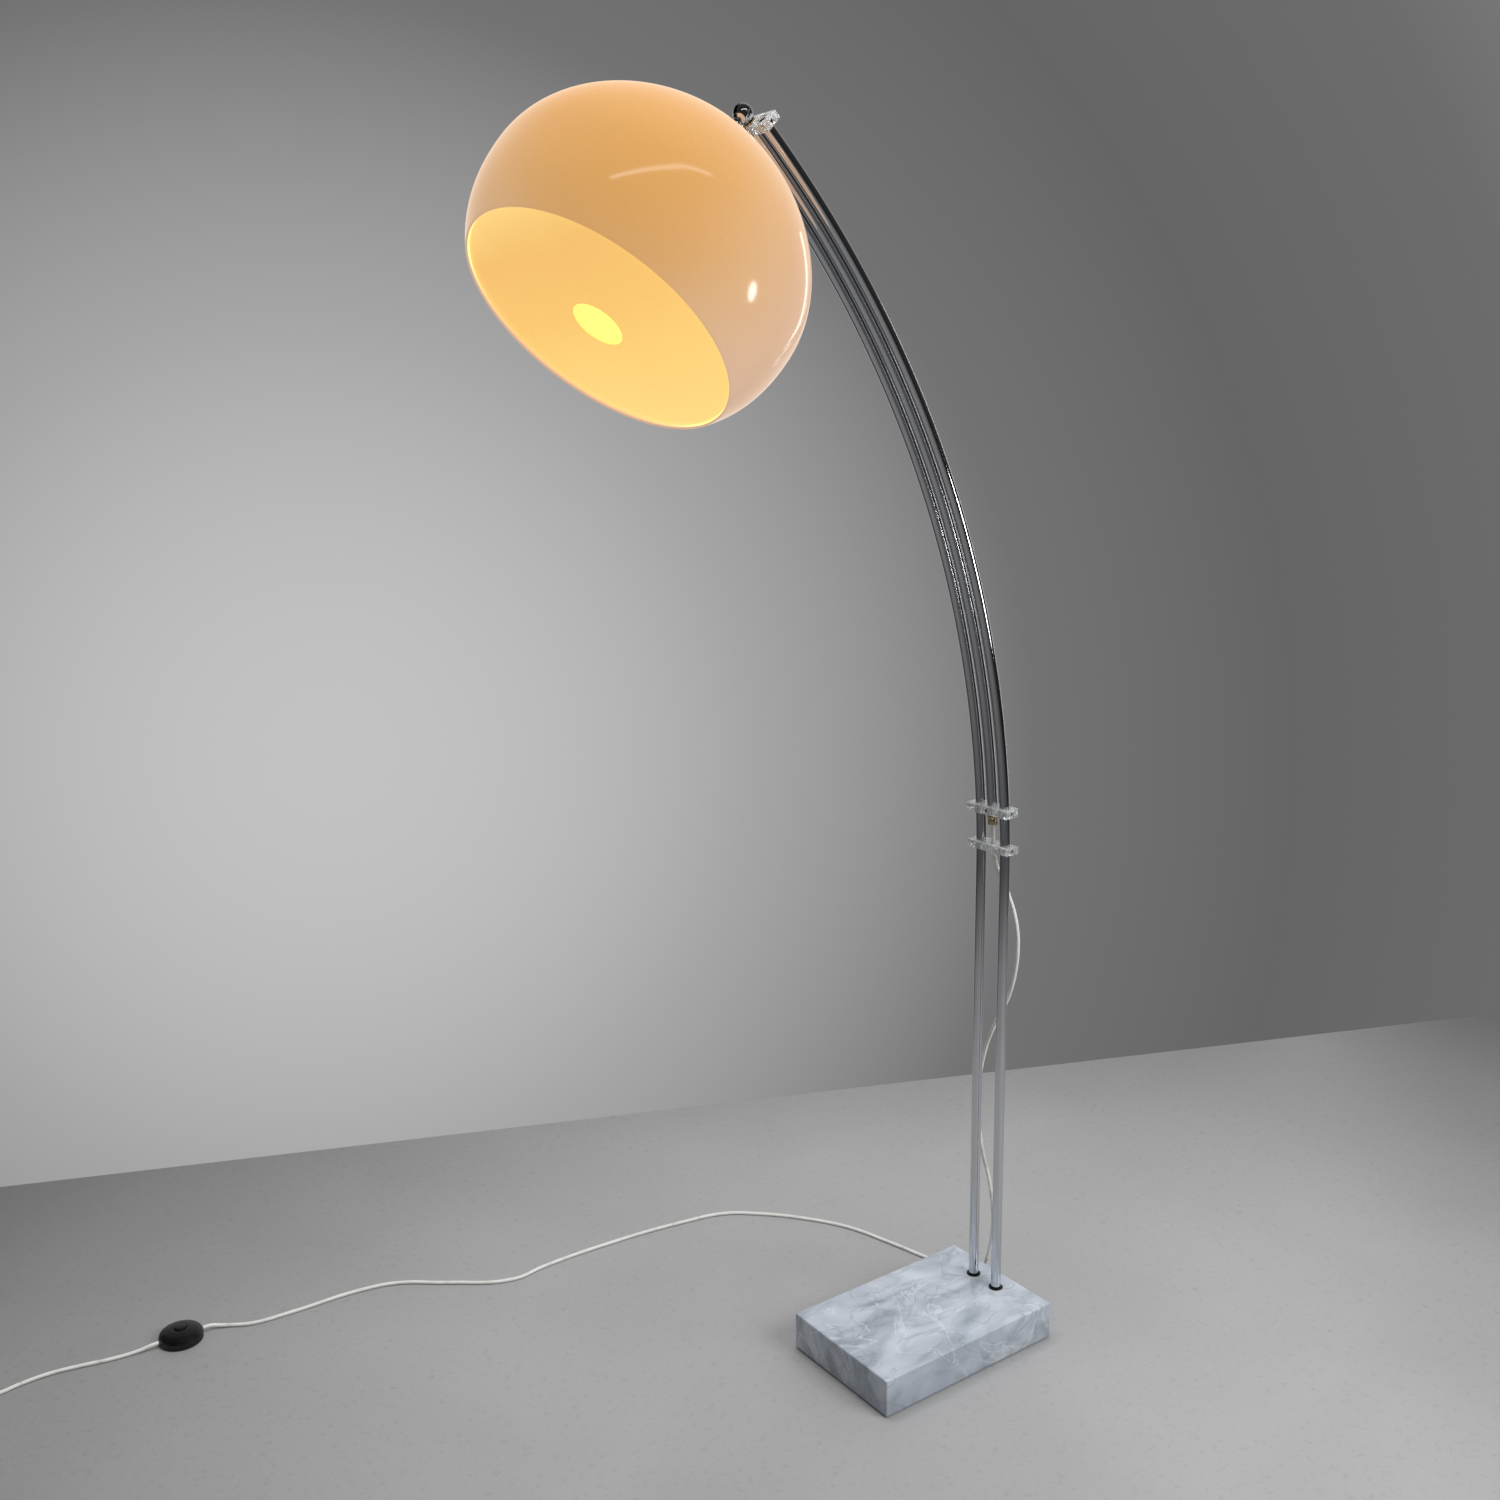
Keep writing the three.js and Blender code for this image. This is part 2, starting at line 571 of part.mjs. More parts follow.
function addFootSwitch() {
  const { x, y, radius, height, button } = SWITCH;
  const at = new THREE.Group();
  at.position.set(x, y, 0);
  lamp.add(at);
  const split = 4;
  add(at, 'switch_base', turned([
    [0, 0], [radius - 1, 0], [radius, 1], [radius, split], [radius - 2.5, split], [radius - 2.5, split + 2.5],
    [radius - 4, split + 2.5], [radius - 4, split - 1.5], [0, split - 1.5],
  ], 24), 'black');
  const hole = button + 0.6;
  add(at, 'switch_cover', turned([
    [radius, split + GAP], [radius, 11], [radius - 2.5, 15.5], [radius - 9, 19.5], [hole + 5, height],
    [hole, height], [hole, height - 2], [hole + 5, height - 2], [radius - 10, 17.5], [radius - 4.5, 14],
    [radius - 2.2, 10.5], [radius - 2.2, split + GAP], [radius, split + GAP],
  ], 24), 'black');
  add(at, 'switch_button', turned([
    [0, 14.5], [4, 14.5], [4, 16], [button + 2, 16], [button + 2, 18], [button, 18], [button, height + 1.5],
    [button - 2, height + 2.7], [0, height + 3.2],
  ], 20), 'black');
  add(at, 'switch_contacts', box(24, 14, 7).translate(0, 0, 7), 'ceramic');
}

function addPlug() {
  const at = new THREE.Group();
  at.position.set(PLUG.x, PLUG.y, PLUG.z);
  lamp.add(at);
  const { length, front, rear, thickness } = PLUG;
  const outline = new THREE.Shape([
    [-rear / 2, 0], [rear / 2, 0], [rear / 2 + 1, 8], [front / 2, 22], [front / 2, length],
    [-front / 2, length], [-front / 2, 22], [-rear / 2 - 1, 8],
  ].map(([u, v]) => new THREE.Vector2(u, v)));
  add(at, 'plug_body', extruded(outline, -thickness / 2, thickness / 2), 'white');
  for (const [name, side] of SIDES) {
    const pin = rod(2, 0, 19, 12).rotateX(-Math.PI / 2).translate(side * 9.3, length + GAP, 0);
    add(at, `plug_pin_${name}`, pin, 'brass');
  }
}

// ---------------------------------------------------------------- Assembly

addBase();
addTubes();
addClampBar('lower', LOWER_BAR, { middleHole: 5, frontScrew: false });
addCordGrip(addClampBar('upper', UPPER_BAR, {}));
addInnerLead();
addShade(addSwivel(addClampBar('top', TOP_BAR, {})));
addFootSwitch();
addLead();
addPlug();

export default lamp;
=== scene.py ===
import json
import math

import bmesh
import bpy
from mathutils import Matrix, Vector


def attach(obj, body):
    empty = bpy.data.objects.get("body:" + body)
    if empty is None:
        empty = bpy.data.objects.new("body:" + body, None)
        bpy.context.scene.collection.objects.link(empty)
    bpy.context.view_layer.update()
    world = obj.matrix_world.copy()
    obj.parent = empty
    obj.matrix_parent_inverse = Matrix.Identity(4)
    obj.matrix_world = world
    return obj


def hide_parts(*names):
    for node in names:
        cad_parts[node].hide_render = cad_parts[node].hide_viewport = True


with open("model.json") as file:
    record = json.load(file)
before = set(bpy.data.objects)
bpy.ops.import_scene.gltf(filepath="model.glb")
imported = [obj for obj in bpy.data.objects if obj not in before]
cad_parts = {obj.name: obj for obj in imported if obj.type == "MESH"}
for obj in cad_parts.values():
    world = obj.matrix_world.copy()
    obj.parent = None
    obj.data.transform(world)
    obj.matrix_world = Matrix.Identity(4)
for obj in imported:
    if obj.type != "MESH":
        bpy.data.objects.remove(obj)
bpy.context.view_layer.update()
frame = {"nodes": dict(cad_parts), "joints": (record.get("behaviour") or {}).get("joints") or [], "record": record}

MM = 0.001
NODES = frame["nodes"]


def colour(red, green, blue):
    """A screen colour, 0 to 255 a channel, as the linear colour that the shaders take."""
    def linear(value):
        share = value / 255
        return share / 12.92 if share <= 0.04045 else ((share + 0.055) / 1.055) ** 2.4
    return (linear(red), linear(green), linear(blue), 1.0)


# ---------------------------------------------------------------- Camera

LENS = {"focal": 36.605, "shift_x": 0.0006, "shift_y": 0.0026}
CAMERA_PLACE = Vector((-1.4997, -1.6489, 1.4638))
CAMERA_HEADING = math.radians(-35.403)
CAMERA_PITCH = math.radians(12.301)
CAMERA_ROLL = math.radians(0.8905)


def add_camera():
    heading, pitch, roll = CAMERA_HEADING, CAMERA_PITCH, CAMERA_ROLL
    ahead = Vector((-math.sin(heading) * math.cos(pitch), math.cos(heading) * math.cos(pitch),
                    -math.sin(pitch)))
    level = Vector((math.cos(heading), math.sin(heading), 0))
    down = ahead.cross(level)
    across = math.cos(roll) * level + math.sin(roll) * down
    below = math.cos(roll) * down - math.sin(roll) * level
    camera = bpy.data.objects.new("camera", bpy.data.cameras.new("camera"))
    bpy.context.scene.collection.objects.link(camera)
    camera.matrix_world = Matrix.Translation(CAMERA_PLACE) @ columns(across, -below, -ahead)
    camera.data.lens = LENS["focal"]
    camera.data.shift_x = LENS["shift_x"]
    camera.data.shift_y = LENS["shift_y"]
    bpy.context.scene.camera = camera


def columns(x_axis, y_axis, z_axis):
    """The turn whose local axes point along these three directions."""
    return Matrix((x_axis, y_axis, z_axis)).transposed().to_4x4()


add_camera()

# ---------------------------------------------------------------- Lead

LEAD = {"radius": 3 * MM, "segments": 6, "roundness": 5}
COIL = {"x": -1296, "y": 790, "outer": 34, "inner": 28, "low": 3.1, "high": 9.1}
COIL_START = -90  # degrees: winding starts on the coil's -Y side and goes clockwise from above
COIL_TURN = 1170  # degrees wound in all
COIL_STEP = 18
COIL_MOVES = {"inwards": (265, 345), "upwards": (600, 655), "outwards": (910, 995)}  # degrees wound

LEAD_TO_SWITCH = [
    (134.75, 0, 845.3), (135.6, 0, 830), (136.4, 0, 813), (138.2, -2, 793), (144, -10, 763),
    (152, -22, 731), (153.5, -38, 687), (154, -41, 650), (154, -37, 612), (154, -22, 562),
    (154, 4, 513), (155, 31, 445), (158, 45, 361), (164, 41, 279), (169, 26, 220),
    (174, 22, 165), (178, 27, 118), (183, 42, 68), (187, 60, 28), (190, 88, 5.5),
    (188, 122, 3.1), (173, 188, 3.1), (151, 279, 3.1), (131, 345, 3.1), (88, 418, 3.1),
    (25, 490, 3.1), (-25, 529, 3.1), (-105, 550, 3.1), (-265, 569, 3.1), (-388, 571, 3.1),
    (-448, 566, 3.1), (-548, 627, 3.1), (-615, 677, 3.1), (-670, 694, 3.1), (-804, 702, 3.1),
    (-860, 709, 3.1), (-904, 732, 4.2), (-921, 737.6, 7.6), (-933.4, 738, 8),
]
LEAD_TO_COIL = [
    (-1004.6, 738, 8), (-1017, 738.4, 7.6), (-1034, 741, 4.2), (-1070, 745, 3.1), (-1122, 757, 3.1),
    (-1165, 765, 3.1), (-1205, 764, 3.1), (-1239, 758.5, 3.1), (-1274, 756, 3.1),
]
LEAD_TO_PLUG = [(-1330, 802, 9.0), (-1330, 811.6, 8.6), (-1330.6, 822, 7.8), (-1331, 833.1, 7.2)]


def eased(value, start, end):
    """0 before start, 1 after end, and smooth between them."""
    share = min(1.0, max(0.0, (value - start) / (end - start)))
    return share * share * (3 - 2 * share)


def coil_points():
    """Two flat layers: outer turn, inner turns, up onto them, and back out on top."""
    points = []
    for wound in range(0, COIL_TURN + 1, COIL_STEP):
        inwards = eased(wound, *COIL_MOVES["inwards"]) - eased(wound, *COIL_MOVES["outwards"])
        radius = COIL["outer"] + (COIL["inner"] - COIL["outer"]) * inwards
        height = COIL["low"] + (COIL["high"] - COIL["low"]) * eased(wound, *COIL_MOVES["upwards"])
        angle = math.radians(COIL_START - wound)
        points.append((COIL["x"] + radius * math.cos(angle), COIL["y"] + radius * math.sin(angle), height))
    return points


def add_lead(name, points, material):
    """A round lead as one open curve through the points, which are in millimetres."""
    curve = bpy.data.curves.new(name, "CURVE")
    curve.dimensions = "3D"
    curve.resolution_u = LEAD["segments"]
    curve.bevel_depth = LEAD["radius"]
    curve.bevel_resolution = LEAD["roundness"]
    curve.use_fill_caps = True
    spline = curve.splines.new("BEZIER")
    spline.bezier_points.add(len(points) - 1)
    for knot, point in zip(spline.bezier_points, points):
        knot.co = Vector(point) * MM
        knot.handle_left_type = knot.handle_right_type = "AUTO"
    lead = bpy.data.objects.new(name, curve)
    bpy.context.scene.collection.objects.link(lead)
    lead.data.materials.append(material)
    return lead


# ---------------------------------------------------------------- Material kit

def set_stops(color_ramp, stops):
    """Fills a new ramp, which has an element at each end, with (place, linear colour) stops."""
    elements = color_ramp.elements
    for element, (place, value) in zip(elements, (stops[0], stops[-1])):
        element.position = place
        element.color = value
    for place, value in stops[1:-1]:
        elements.new(place).color = value


MIX_FIRST, MIX_SECOND, MIX_RESULT = 6, 7, 2  # the colour sockets of a Mix node


class Look:
    """A Principled material, with short ways to add nodes to it."""

    def __init__(self, name, **sockets):
        self.material = bpy.data.materials.new(name)
        self.material.use_nodes = True
        self.tree = self.material.node_tree
        self.shader = self.tree.nodes["Principled BSDF"]
        self.point = self.tree.nodes.new("ShaderNodeTexCoord").outputs["Object"]
        for key, value in sockets.items():
            self.shader.inputs[key.replace("_", " ")].default_value = value

    def fill(self, socket, value):
        """Links a node's output to the socket, or sets the socket to a plain value."""
        if isinstance(value, bpy.types.NodeSocket):
            self.tree.links.new(value, socket)
        else:
            socket.default_value = value

    def stretched(self, scale, turn=(0, 0, 0)):
        node = self.tree.nodes.new("ShaderNodeMapping")
        node.inputs["Scale"].default_value = scale
        node.inputs["Rotation"].default_value = [math.radians(angle) for angle in turn]
        self.fill(node.inputs["Vector"], self.point)
        return node.outputs["Vector"]

    def noise(self, scale, detail=3.0, distortion=0.0, point=None):
        node = self.tree.nodes.new("ShaderNodeTexNoise")
        node.inputs["Scale"].default_value = scale
        node.inputs["Detail"].default_value = detail
        node.inputs["Distortion"].default_value = distortion
        self.fill(node.inputs["Vector"], self.point if point is None else point)
        return node.outputs["Fac"]

    def ramp(self, factor, *stops):
        """Colours along a factor: each stop is (place, linear colour)."""
        node = self.tree.nodes.new("ShaderNodeValToRGB")
        set_stops(node.color_ramp, stops)
        self.fill(node.inputs["Fac"], factor)
        return node.outputs["Color"]

    def spread(self, factor, low, high, start=0.3, end=0.7):
        """Takes a factor from start..end to low..high."""
        node = self.tree.nodes.new("ShaderNodeMapRange")
        for key, value in (("From Min", start), ("From Max", end), ("To Min", low), ("To Max", high)):
            node.inputs[key].default_value = value
        self.fill(node.inputs["Value"], factor)
        return node.outputs["Result"]

    def maths(self, operation, first, second=0.0):
        node = self.tree.nodes.new("ShaderNodeMath")
        node.operation = operation
        self.fill(node.inputs[0], first)
        self.fill(node.inputs[1], second)
        return node.outputs[0]

    def mix(self, factor, first, second, blend="MIX"):
        node = self.tree.nodes.new("ShaderNodeMix")
        node.data_type = "RGBA"
        node.blend_type = blend
        self.fill(node.inputs["Factor"], factor)
        self.fill(node.inputs[MIX_FIRST], first)
        self.fill(node.inputs[MIX_SECOND], second)
        return node.outputs[MIX_RESULT]

    def along(self, origin, direction):
        """How far the shaded point lies from origin along a direction of the piece's own frame."""
        moved = self.tree.nodes.new("ShaderNodeVectorMath")
        moved.operation = "SUBTRACT"
        moved.inputs[1].default_value = origin
        self.fill(moved.inputs[0], self.point)
        dot = self.tree.nodes.new("ShaderNodeVectorMath")
        dot.operation = "DOT_PRODUCT"
        dot.inputs[1].default_value = direction
        self.fill(dot.inputs[0], moved.outputs["Vector"])
        return dot.outputs["Value"]

    def bump(self, height, strength, distance=0.0005):
        node = self.tree.nodes.new("ShaderNodeBump")
        node.inputs["Strength"].default_value = strength
        node.inputs["Distance"].default_value = distance
        self.fill(node.inputs["Height"], height)
        self.fill(self.shader.inputs["Normal"], node.outputs["Normal"])

    def set(self, **values):
        for key, value in values.items():
            self.fill(self.shader.inputs[key.replace("_", " ")], value)
        return self.material


# ---------------------------------------------------------------- Shared frames

JOINTS = {joint["name"]: joint for joint in frame["joints"]}
BALL_CENTRE = Vector(JOINTS["shade_swivel"]["pos_m"])
TUBE_DIRECTION = Vector(JOINTS["shade_swivel"]["axis"]).normalized()
TILT_AXIS = Vector(JOINTS["shade_tilt"]["axis"]).normalized()
SHADE_DROP = math.radians(91.5)  # from the tubes' end direction to the shade's axis

SWIVEL_FRAME = (Matrix.Translation(BALL_CENTRE)
                @ columns(TILT_AXIS.cross(TUBE_DIRECTION), TILT_AXIS, TUBE_DIRECTION))
SHADE_FRAME = SWIVEL_FRAME @ Matrix.Rotation(-SHADE_DROP, 4, "Y")
SHADE_UP = SHADE_FRAME.to_3x3().col[0]
SHADE_AXIS = SHADE_FRAME.to_3x3().col[2]
# the side where the dome's painted glow is full amber, away from its painted pale reflection of the room
SHADE_FULL_GLOW_SIDE = (SHADE_UP - TILT_AXIS).normalized()

TUBE = {"radius": 8, "bore": 6.5, "pitch": 26, "x": 136, "sides": 48}
BEND = {"start": 780, "radius": 1450, "steps": 72}
FOOT = 62.3
LOWER_BAR, UPPER_BAR, TOP_BAR = 31, 91, 1166.5  # how far round the bend each bar's middle is


def on_bend(along, y=0.0):
    """A point of a tube's centreline and the tube's lean there, in millimetres and radians."""
    lean = max(0.0, along) / BEND["radius"]
    x = TUBE["x"] - BEND["radius"] * (1 - math.cos(lean))
    z = BEND["start"] + BEND["radius"] * math.sin(lean) + min(0.0, along)
    return Vector((x, y, z)), lean


def bend_frame(along):
    """A frame on the middle tube's centreline: local Z along the tubes, local -X on the shade's side."""
    place, lean = on_bend(along)
    return Matrix.Translation(place * MM) @ Matrix.Rotation(-lean, 4, "Y")


def shifted(frame_matrix, place):
    """A frame at a local place of another, in millimetres."""
    return frame_matrix @ Matrix.Translation(Vector(place) * MM)


def facing(frame_matrix, place, axis, degrees):
    """A frame at a local place of another, turned about one of its axes."""
    return shifted(frame_matrix, place) @ Matrix.Rotation(math.radians(degrees), 4, axis)


# ---------------------------------------------------------------- Mesh kit

SEGMENTS = 64
SHARP = math.radians(32)
ROUNDING_STEPS = 3
CORNER_SHARE = 0.45  # the most of an edge that one rounded corner may take
ON_AXIS = 1e-6  # a profile's point with a smaller radius, in millimetres, lies on the axis


def new_piece(name, bm, material, body, replaced):
    """Makes an object from the mesh, which is in metres in the CAD frame, and puts it on its body."""
    bmesh.ops.recalc_face_normals(bm, faces=bm.faces)
    mesh = bpy.data.meshes.new(name)
    bm.to_mesh(mesh)
    bm.free()
    for face in mesh.polygons:
        face.use_smooth = True
    mesh.set_sharp_from_angle(angle=SHARP)
    mesh.materials.append(material)
    piece = bpy.data.objects.new(name, mesh)
    bpy.context.scene.collection.objects.link(piece)
    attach(piece, body)
    if replaced:
        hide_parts(*replaced)
    return piece


def loft(bm, rings, closed):
    """Joins rings of vertices with quads; a ring of one vertex is a point. closed joins last to first."""
    pairs = list(zip(rings, rings[1:]))
    if closed:
        pairs.append((rings[-1], rings[0]))
    for ring, following in pairs:
        count = max(len(ring), len(following))
        if count == 1:
            continue
        for i in range(count):
            corners = [ring[i % len(ring)], ring[(i + 1) % len(ring)],
                       following[(i + 1) % len(following)], following[i % len(following)]]
            bm.faces.new(list(dict.fromkeys(corners)))


def softened(profile, radius):
    """The profile with each corner between its ends rounded off by about that radius."""
    points = [Vector(point) for point in profile]
    result = [points[0]]
    for before, corner, after in zip(points, points[1:], points[2:]):
        back, forth = before - corner, after - corner
        reach = min(radius, CORNER_SHARE * back.length, CORNER_SHARE * forth.length)
        start = corner + back.normalized() * reach
        end = corner + forth.normalized() * reach
        for i in range(ROUNDING_STEPS + 1):
            t = i / ROUNDING_STEPS
            result.append((1 - t) ** 2 * start + 2 * t * (1 - t) * corner + t * t * end)
    return result + [points[-1]]


def turned(profile, place, segments=SEGMENTS, round_off=0.3):
    """A solid of revolution about the local Z of a frame, from (radius, height) in millimetres.
    The profile runs from axis to axis, or is a loop whose last point repeats its first."""
    loop = profile[0] == profile[-1]
    points = softened(profile, round_off) if round_off else [Vector(point) for point in profile]
    if loop:
        points = points[:-1]
    bm = bmesh.new()
    rings = []
    for radius, height in points:
        sides = 1 if radius < ON_AXIS else segments
        ring = []
        for i in range(sides):
            angle = 2 * math.pi * i / segments
            local = Vector((radius * math.cos(angle), radius * math.sin(angle), height)) * MM
            ring.append(bm.verts.new(place @ local))
        rings.append(ring)
    loft(bm, rings, loop)
    return bm


def rod(radius, low, high, place, segments=32, round_off=0):
    """A plain cylinder about the local Z of a frame."""
    return turned([(0, low), (radius, low), (radius, high), (0, high)], place, segments, round_off)


def block(size, place, chamfer, segments=ROUNDING_STEPS):
    """A block of that size in millimetres, centred on a frame, with its edges rounded off."""
    bm = bmesh.new()
    bmesh.ops.create_cube(bm, size=1)
    bmesh.ops.scale(bm, vec=Vector(size) * MM, verts=bm.verts)
    bmesh.ops.bevel(bm, geom=list(bm.edges), offset=chamfer * MM, segments=segments, profile=0.5,
                    affect="EDGES", clamp_overlap=True)
    bmesh.ops.transform(bm, matrix=place, verts=bm.verts)
    return bm


def prism(outline, low, high, place, chamfer):
    """An upright outline in millimetres raised from low to high, with its edges rounded off."""
    bm = bmesh.new()
    rings = [[bm.verts.new(Vector((x, y, z)) * MM) for x, y in outline] for z in (low, high)]
    loft(bm, rings, False)
    bm.faces.new(rings[0])
    bm.faces.new(rings[1])
    bmesh.ops.recalc_face_normals(bm, faces=bm.faces)
    bmesh.ops.bevel(bm, geom=list(bm.edges), offset=chamfer * MM, segments=ROUNDING_STEPS, profile=0.5,
                    affect="EDGES", clamp_overlap=True)
    bmesh.ops.transform(bm, matrix=place, verts=bm.verts)
    return bm


def as_object(bm):
    mesh = bpy.data.meshes.new("working")
    bmesh.ops.recalc_face_normals(bm, faces=bm.faces)
    bm.to_mesh(mesh)
    bm.free()
    made = bpy.data.objects.new("working", mesh)
    bpy.context.scene.collection.objects.link(made)
    return made


def combined(operation, bm, others):
    """The mesh after a Boolean operation with each of the other solids in turn."""
    body = as_object(bm)
    partners = [as_object(other) for other in others]
    for partner in partners:
        modifier = body.modifiers.new("combine", "BOOLEAN")
        modifier.operation = operation
        modifier.solver = "EXACT"
        modifier.object = partner
    bpy.context.view_layer.update()
    evaluated = body.evaluated_get(bpy.context.evaluated_depsgraph_get())
    result = bmesh.new()
    result.from_mesh(evaluated.to_mesh())
    evaluated.to_mesh_clear()
    for spent in (body, *partners):
        bpy.data.objects.remove(spent)
    return result


def cut(bm, *tools):
    """The mesh with the tools' solids taken out of it."""
    return combined("DIFFERENCE", bm, tools)


def joined(bm, *others):
    """The meshes' solids as one."""
    return combined("UNION", bm, others)


# ---------------------------------------------------------------- Metals, stone and plastics

def chrome_look():
    look = Look("chrome", Metallic=1.0, Base_Color=(0.64, 0.65, 0.675, 1))
    haze = look.noise(14, 4)
    wipes = look.noise(60, 3, point=look.stretched((1, 1, 0.08)))
    look.bump(wipes, 0.012)
    return look.set(Roughness=look.spread(haze, 0.035, 0.075))


def steel_look():
    look = Look("steel", Metallic=1.0)
    tone = look.noise(260, 4)
    look.bump(look.noise(900, 2), 0.1)
    return look.set(Roughness=look.spread(tone, 0.22, 0.4),
                    Base_Color=look.ramp(tone, (0.3, (0.42, 0.43, 0.45, 1)), (0.7, (0.6, 0.61, 0.63, 1))))


def brass_look():
    look = Look("brass", Metallic=1.0)
    age = look.noise(320, 5, 0.4)
    look.bump(look.noise(1100, 2), 0.08)
    return look.set(Roughness=look.spread(age, 0.2, 0.42),
                    Base_Color=look.ramp(age, (0.28, (0.46, 0.34, 0.17, 1)), (0.7, (0.82, 0.67, 0.42, 1))))


def marble_look():
    """Pale blue-grey stone with soft slanting clouds, grey threads and thin white veins."""
    look = Look("marble", IOR=1.52, Specular_IOR_Level=0.5)
    slant = look.stretched((1.0, 2.1, 1.5), (24, 12, 38))
    clouds = look.noise(9, 7, 0.9, slant)
    base = look.ramp(clouds, (0.30, colour(140, 149, 160)), (0.46, colour(176, 185, 197)),
                     (0.60, colour(196, 204, 215)), (0.78, colour(212, 219, 227)))
    thread_noise = look.noise(7.5, 9, 1.5, look.stretched((1.0, 1.7, 1.2), (-18, 30, -24)))
    thread = look.maths("ABSOLUTE", look.maths("SUBTRACT", thread_noise, 0.5))
    grey_thread = look.spread(thread, 0.4, 0.0, 0.0, 0.025)
    base = look.mix(grey_thread, base, colour(128, 137, 146))
    vein_noise = look.noise(3.4, 8, 1.1, look.stretched((1.5, 0.9, 1.3), (8, -22, 64)))
    vein = look.maths("ABSOLUTE", look.maths("SUBTRACT", vein_noise, 0.47))
    white_vein = look.spread(vein, 0.6, 0.0, 0.0, 0.005)
    base = look.mix(white_vein, base, colour(226, 230, 233))
    crystals = look.noise(420, 3)
    base = look.mix(look.spread(crystals, 0.0, 0.16), base, colour(214, 219, 223))
    look.bump(crystals, 0.02, 0.0002)
    return look.set(Base_Color=base, Roughness=look.spread(look.noise(30, 5), 0.07, 0.2))


def clear_look():
    """Polished clear acrylic, with a faint tint and fine scratches."""
    look = Look("clear_acrylic", IOR=1.49, Transmission_Weight=0.74)
    scratches = look.noise(220, 5, 2.0, look.stretched((1, 0.12, 1), (0, 0, 30)))
    look.bump(scratches, 0.015, 0.0002)
    return look.set(Roughness=look.spread(scratches, 0.0, 0.05),
                    Base_Color=look.ramp(look.noise(25, 3), (0.3, (0.90, 0.93, 0.93, 1)),
                                         (0.7, (0.97, 0.98, 0.97, 1))))


def plastic_look(name, low, high, roughness, grain=900, strength=0.12):
    """Moulded plastic: a slight change of tone, and a fine grain in the surface."""
    look = Look(name)
    tone = look.noise(70, 5, 0.3)
    look.bump(look.noise(grain, 3), strength, 0.0003)
    return look.set(Base_Color=look.ramp(tone, (0.3, low), (0.7, high)),
                    Roughness=look.spread(look.noise(140, 4), *roughness))


def lead_look():
    """A soft white sheath with faint grey scuffs."""
    look = Look("white_lead", IOR=1.45)
    scuffs = look.noise(45, 6, 0.8)
    tone = look.ramp(scuffs, (0.28, colour(206, 204, 198)), (0.42, colour(232, 231, 227)),
                     (0.7, colour(243, 242, 239)))
    look.bump(look.noise(700, 2), 0.1, 0.0002)
    return look.set(Base_Color=tone, Roughness=look.spread(scuffs, 0.38, 0.55))


def felt_look():
    look = Look("felt", Sheen_Weight=0.4, Sheen_Roughness=0.6)
    fibres = look.noise(900, 6, 1.2)
    look.bump(fibres, 0.7, 0.0006)
    tone = look.ramp(fibres, (0.3, (0.012, 0.012, 0.014, 1)), (0.7, (0.05, 0.05, 0.055, 1)))
    return look.set(Base_Color=tone, Roughness=look.spread(fibres, 0.85, 1.0))


# ---------------------------------------------------------------- Lit shade

DOME_GLOW, DIFFUSER_GLOW, INSIDE_GLOW, BULB_GLOW = 0.75, 0.87, 0.9, 2.0
DRIFT = (-0.05, 0.05)  # how far a slow noise moves a place along a glow's ramp
HOLE_AT = BALL_CENTRE + SHADE_AXIS * 0.352


def dome_look():
    """Amber acrylic with a painted glow of light from inside: full amber on one side, and a painted pale peach
    reflection of the room round the rest.
    """
    look = Look("amber_acrylic", IOR=1.49, Specular_IOR_Level=0.5, Emission_Strength=DOME_GLOW)
    across = look.along(BALL_CENTRE, SHADE_FULL_GLOW_SIDE)
    drift = look.noise(3.5, 2)
    place = look.maths("ADD", look.spread(across, 0.0, 1.0, 0.0, 0.21), look.spread(drift, *DRIFT))
    # painted light: painted pale peach reflection of the room at 0, full amber painted glow at 1
    glow = look.ramp(place, (0.0, colour(226, 190, 162)), (0.3, colour(230, 191, 158)),
                     (0.68, colour(232, 186, 136)), (0.86, colour(231, 176, 110)),
                     (1.0, colour(230, 170, 92)))
    body = look.ramp(look.noise(300, 4), (0.3, colour(116, 88, 62)), (0.7, colour(124, 96, 70)))
    look.bump(look.noise(18, 2), 0.01, 0.0006)
    return look.set(Base_Color=body, Emission_Color=glow, Roughness=look.spread(drift, 0.06, 0.11))


def inside_look():
    """The dome's inner wall, with a painted glow of bulb light, bright yellow beside the bulb."""
    look = Look("amber_inside", IOR=1.49, Emission_Strength=INSIDE_GLOW)
    depth = look.spread(look.along(BALL_CENTRE, SHADE_AXIS), 0.0, 1.0, 0.06, 0.35)
    drift = look.spread(look.noise(9, 2), *DRIFT)
    glow = look.ramp(look.maths("ADD", depth, drift),
                     (0.0, colour(255, 246, 120)), (0.5, colour(255, 240, 128)), (1.0, colour(252, 214, 130)))
    body = look.ramp(look.noise(40, 3), (0.3, colour(226, 172, 92)), (0.7, colour(236, 184, 104)))
    return look.set(Base_Color=body, Emission_Color=glow, Roughness=look.spread(look.noise(60, 2), 0.2, 0.3))


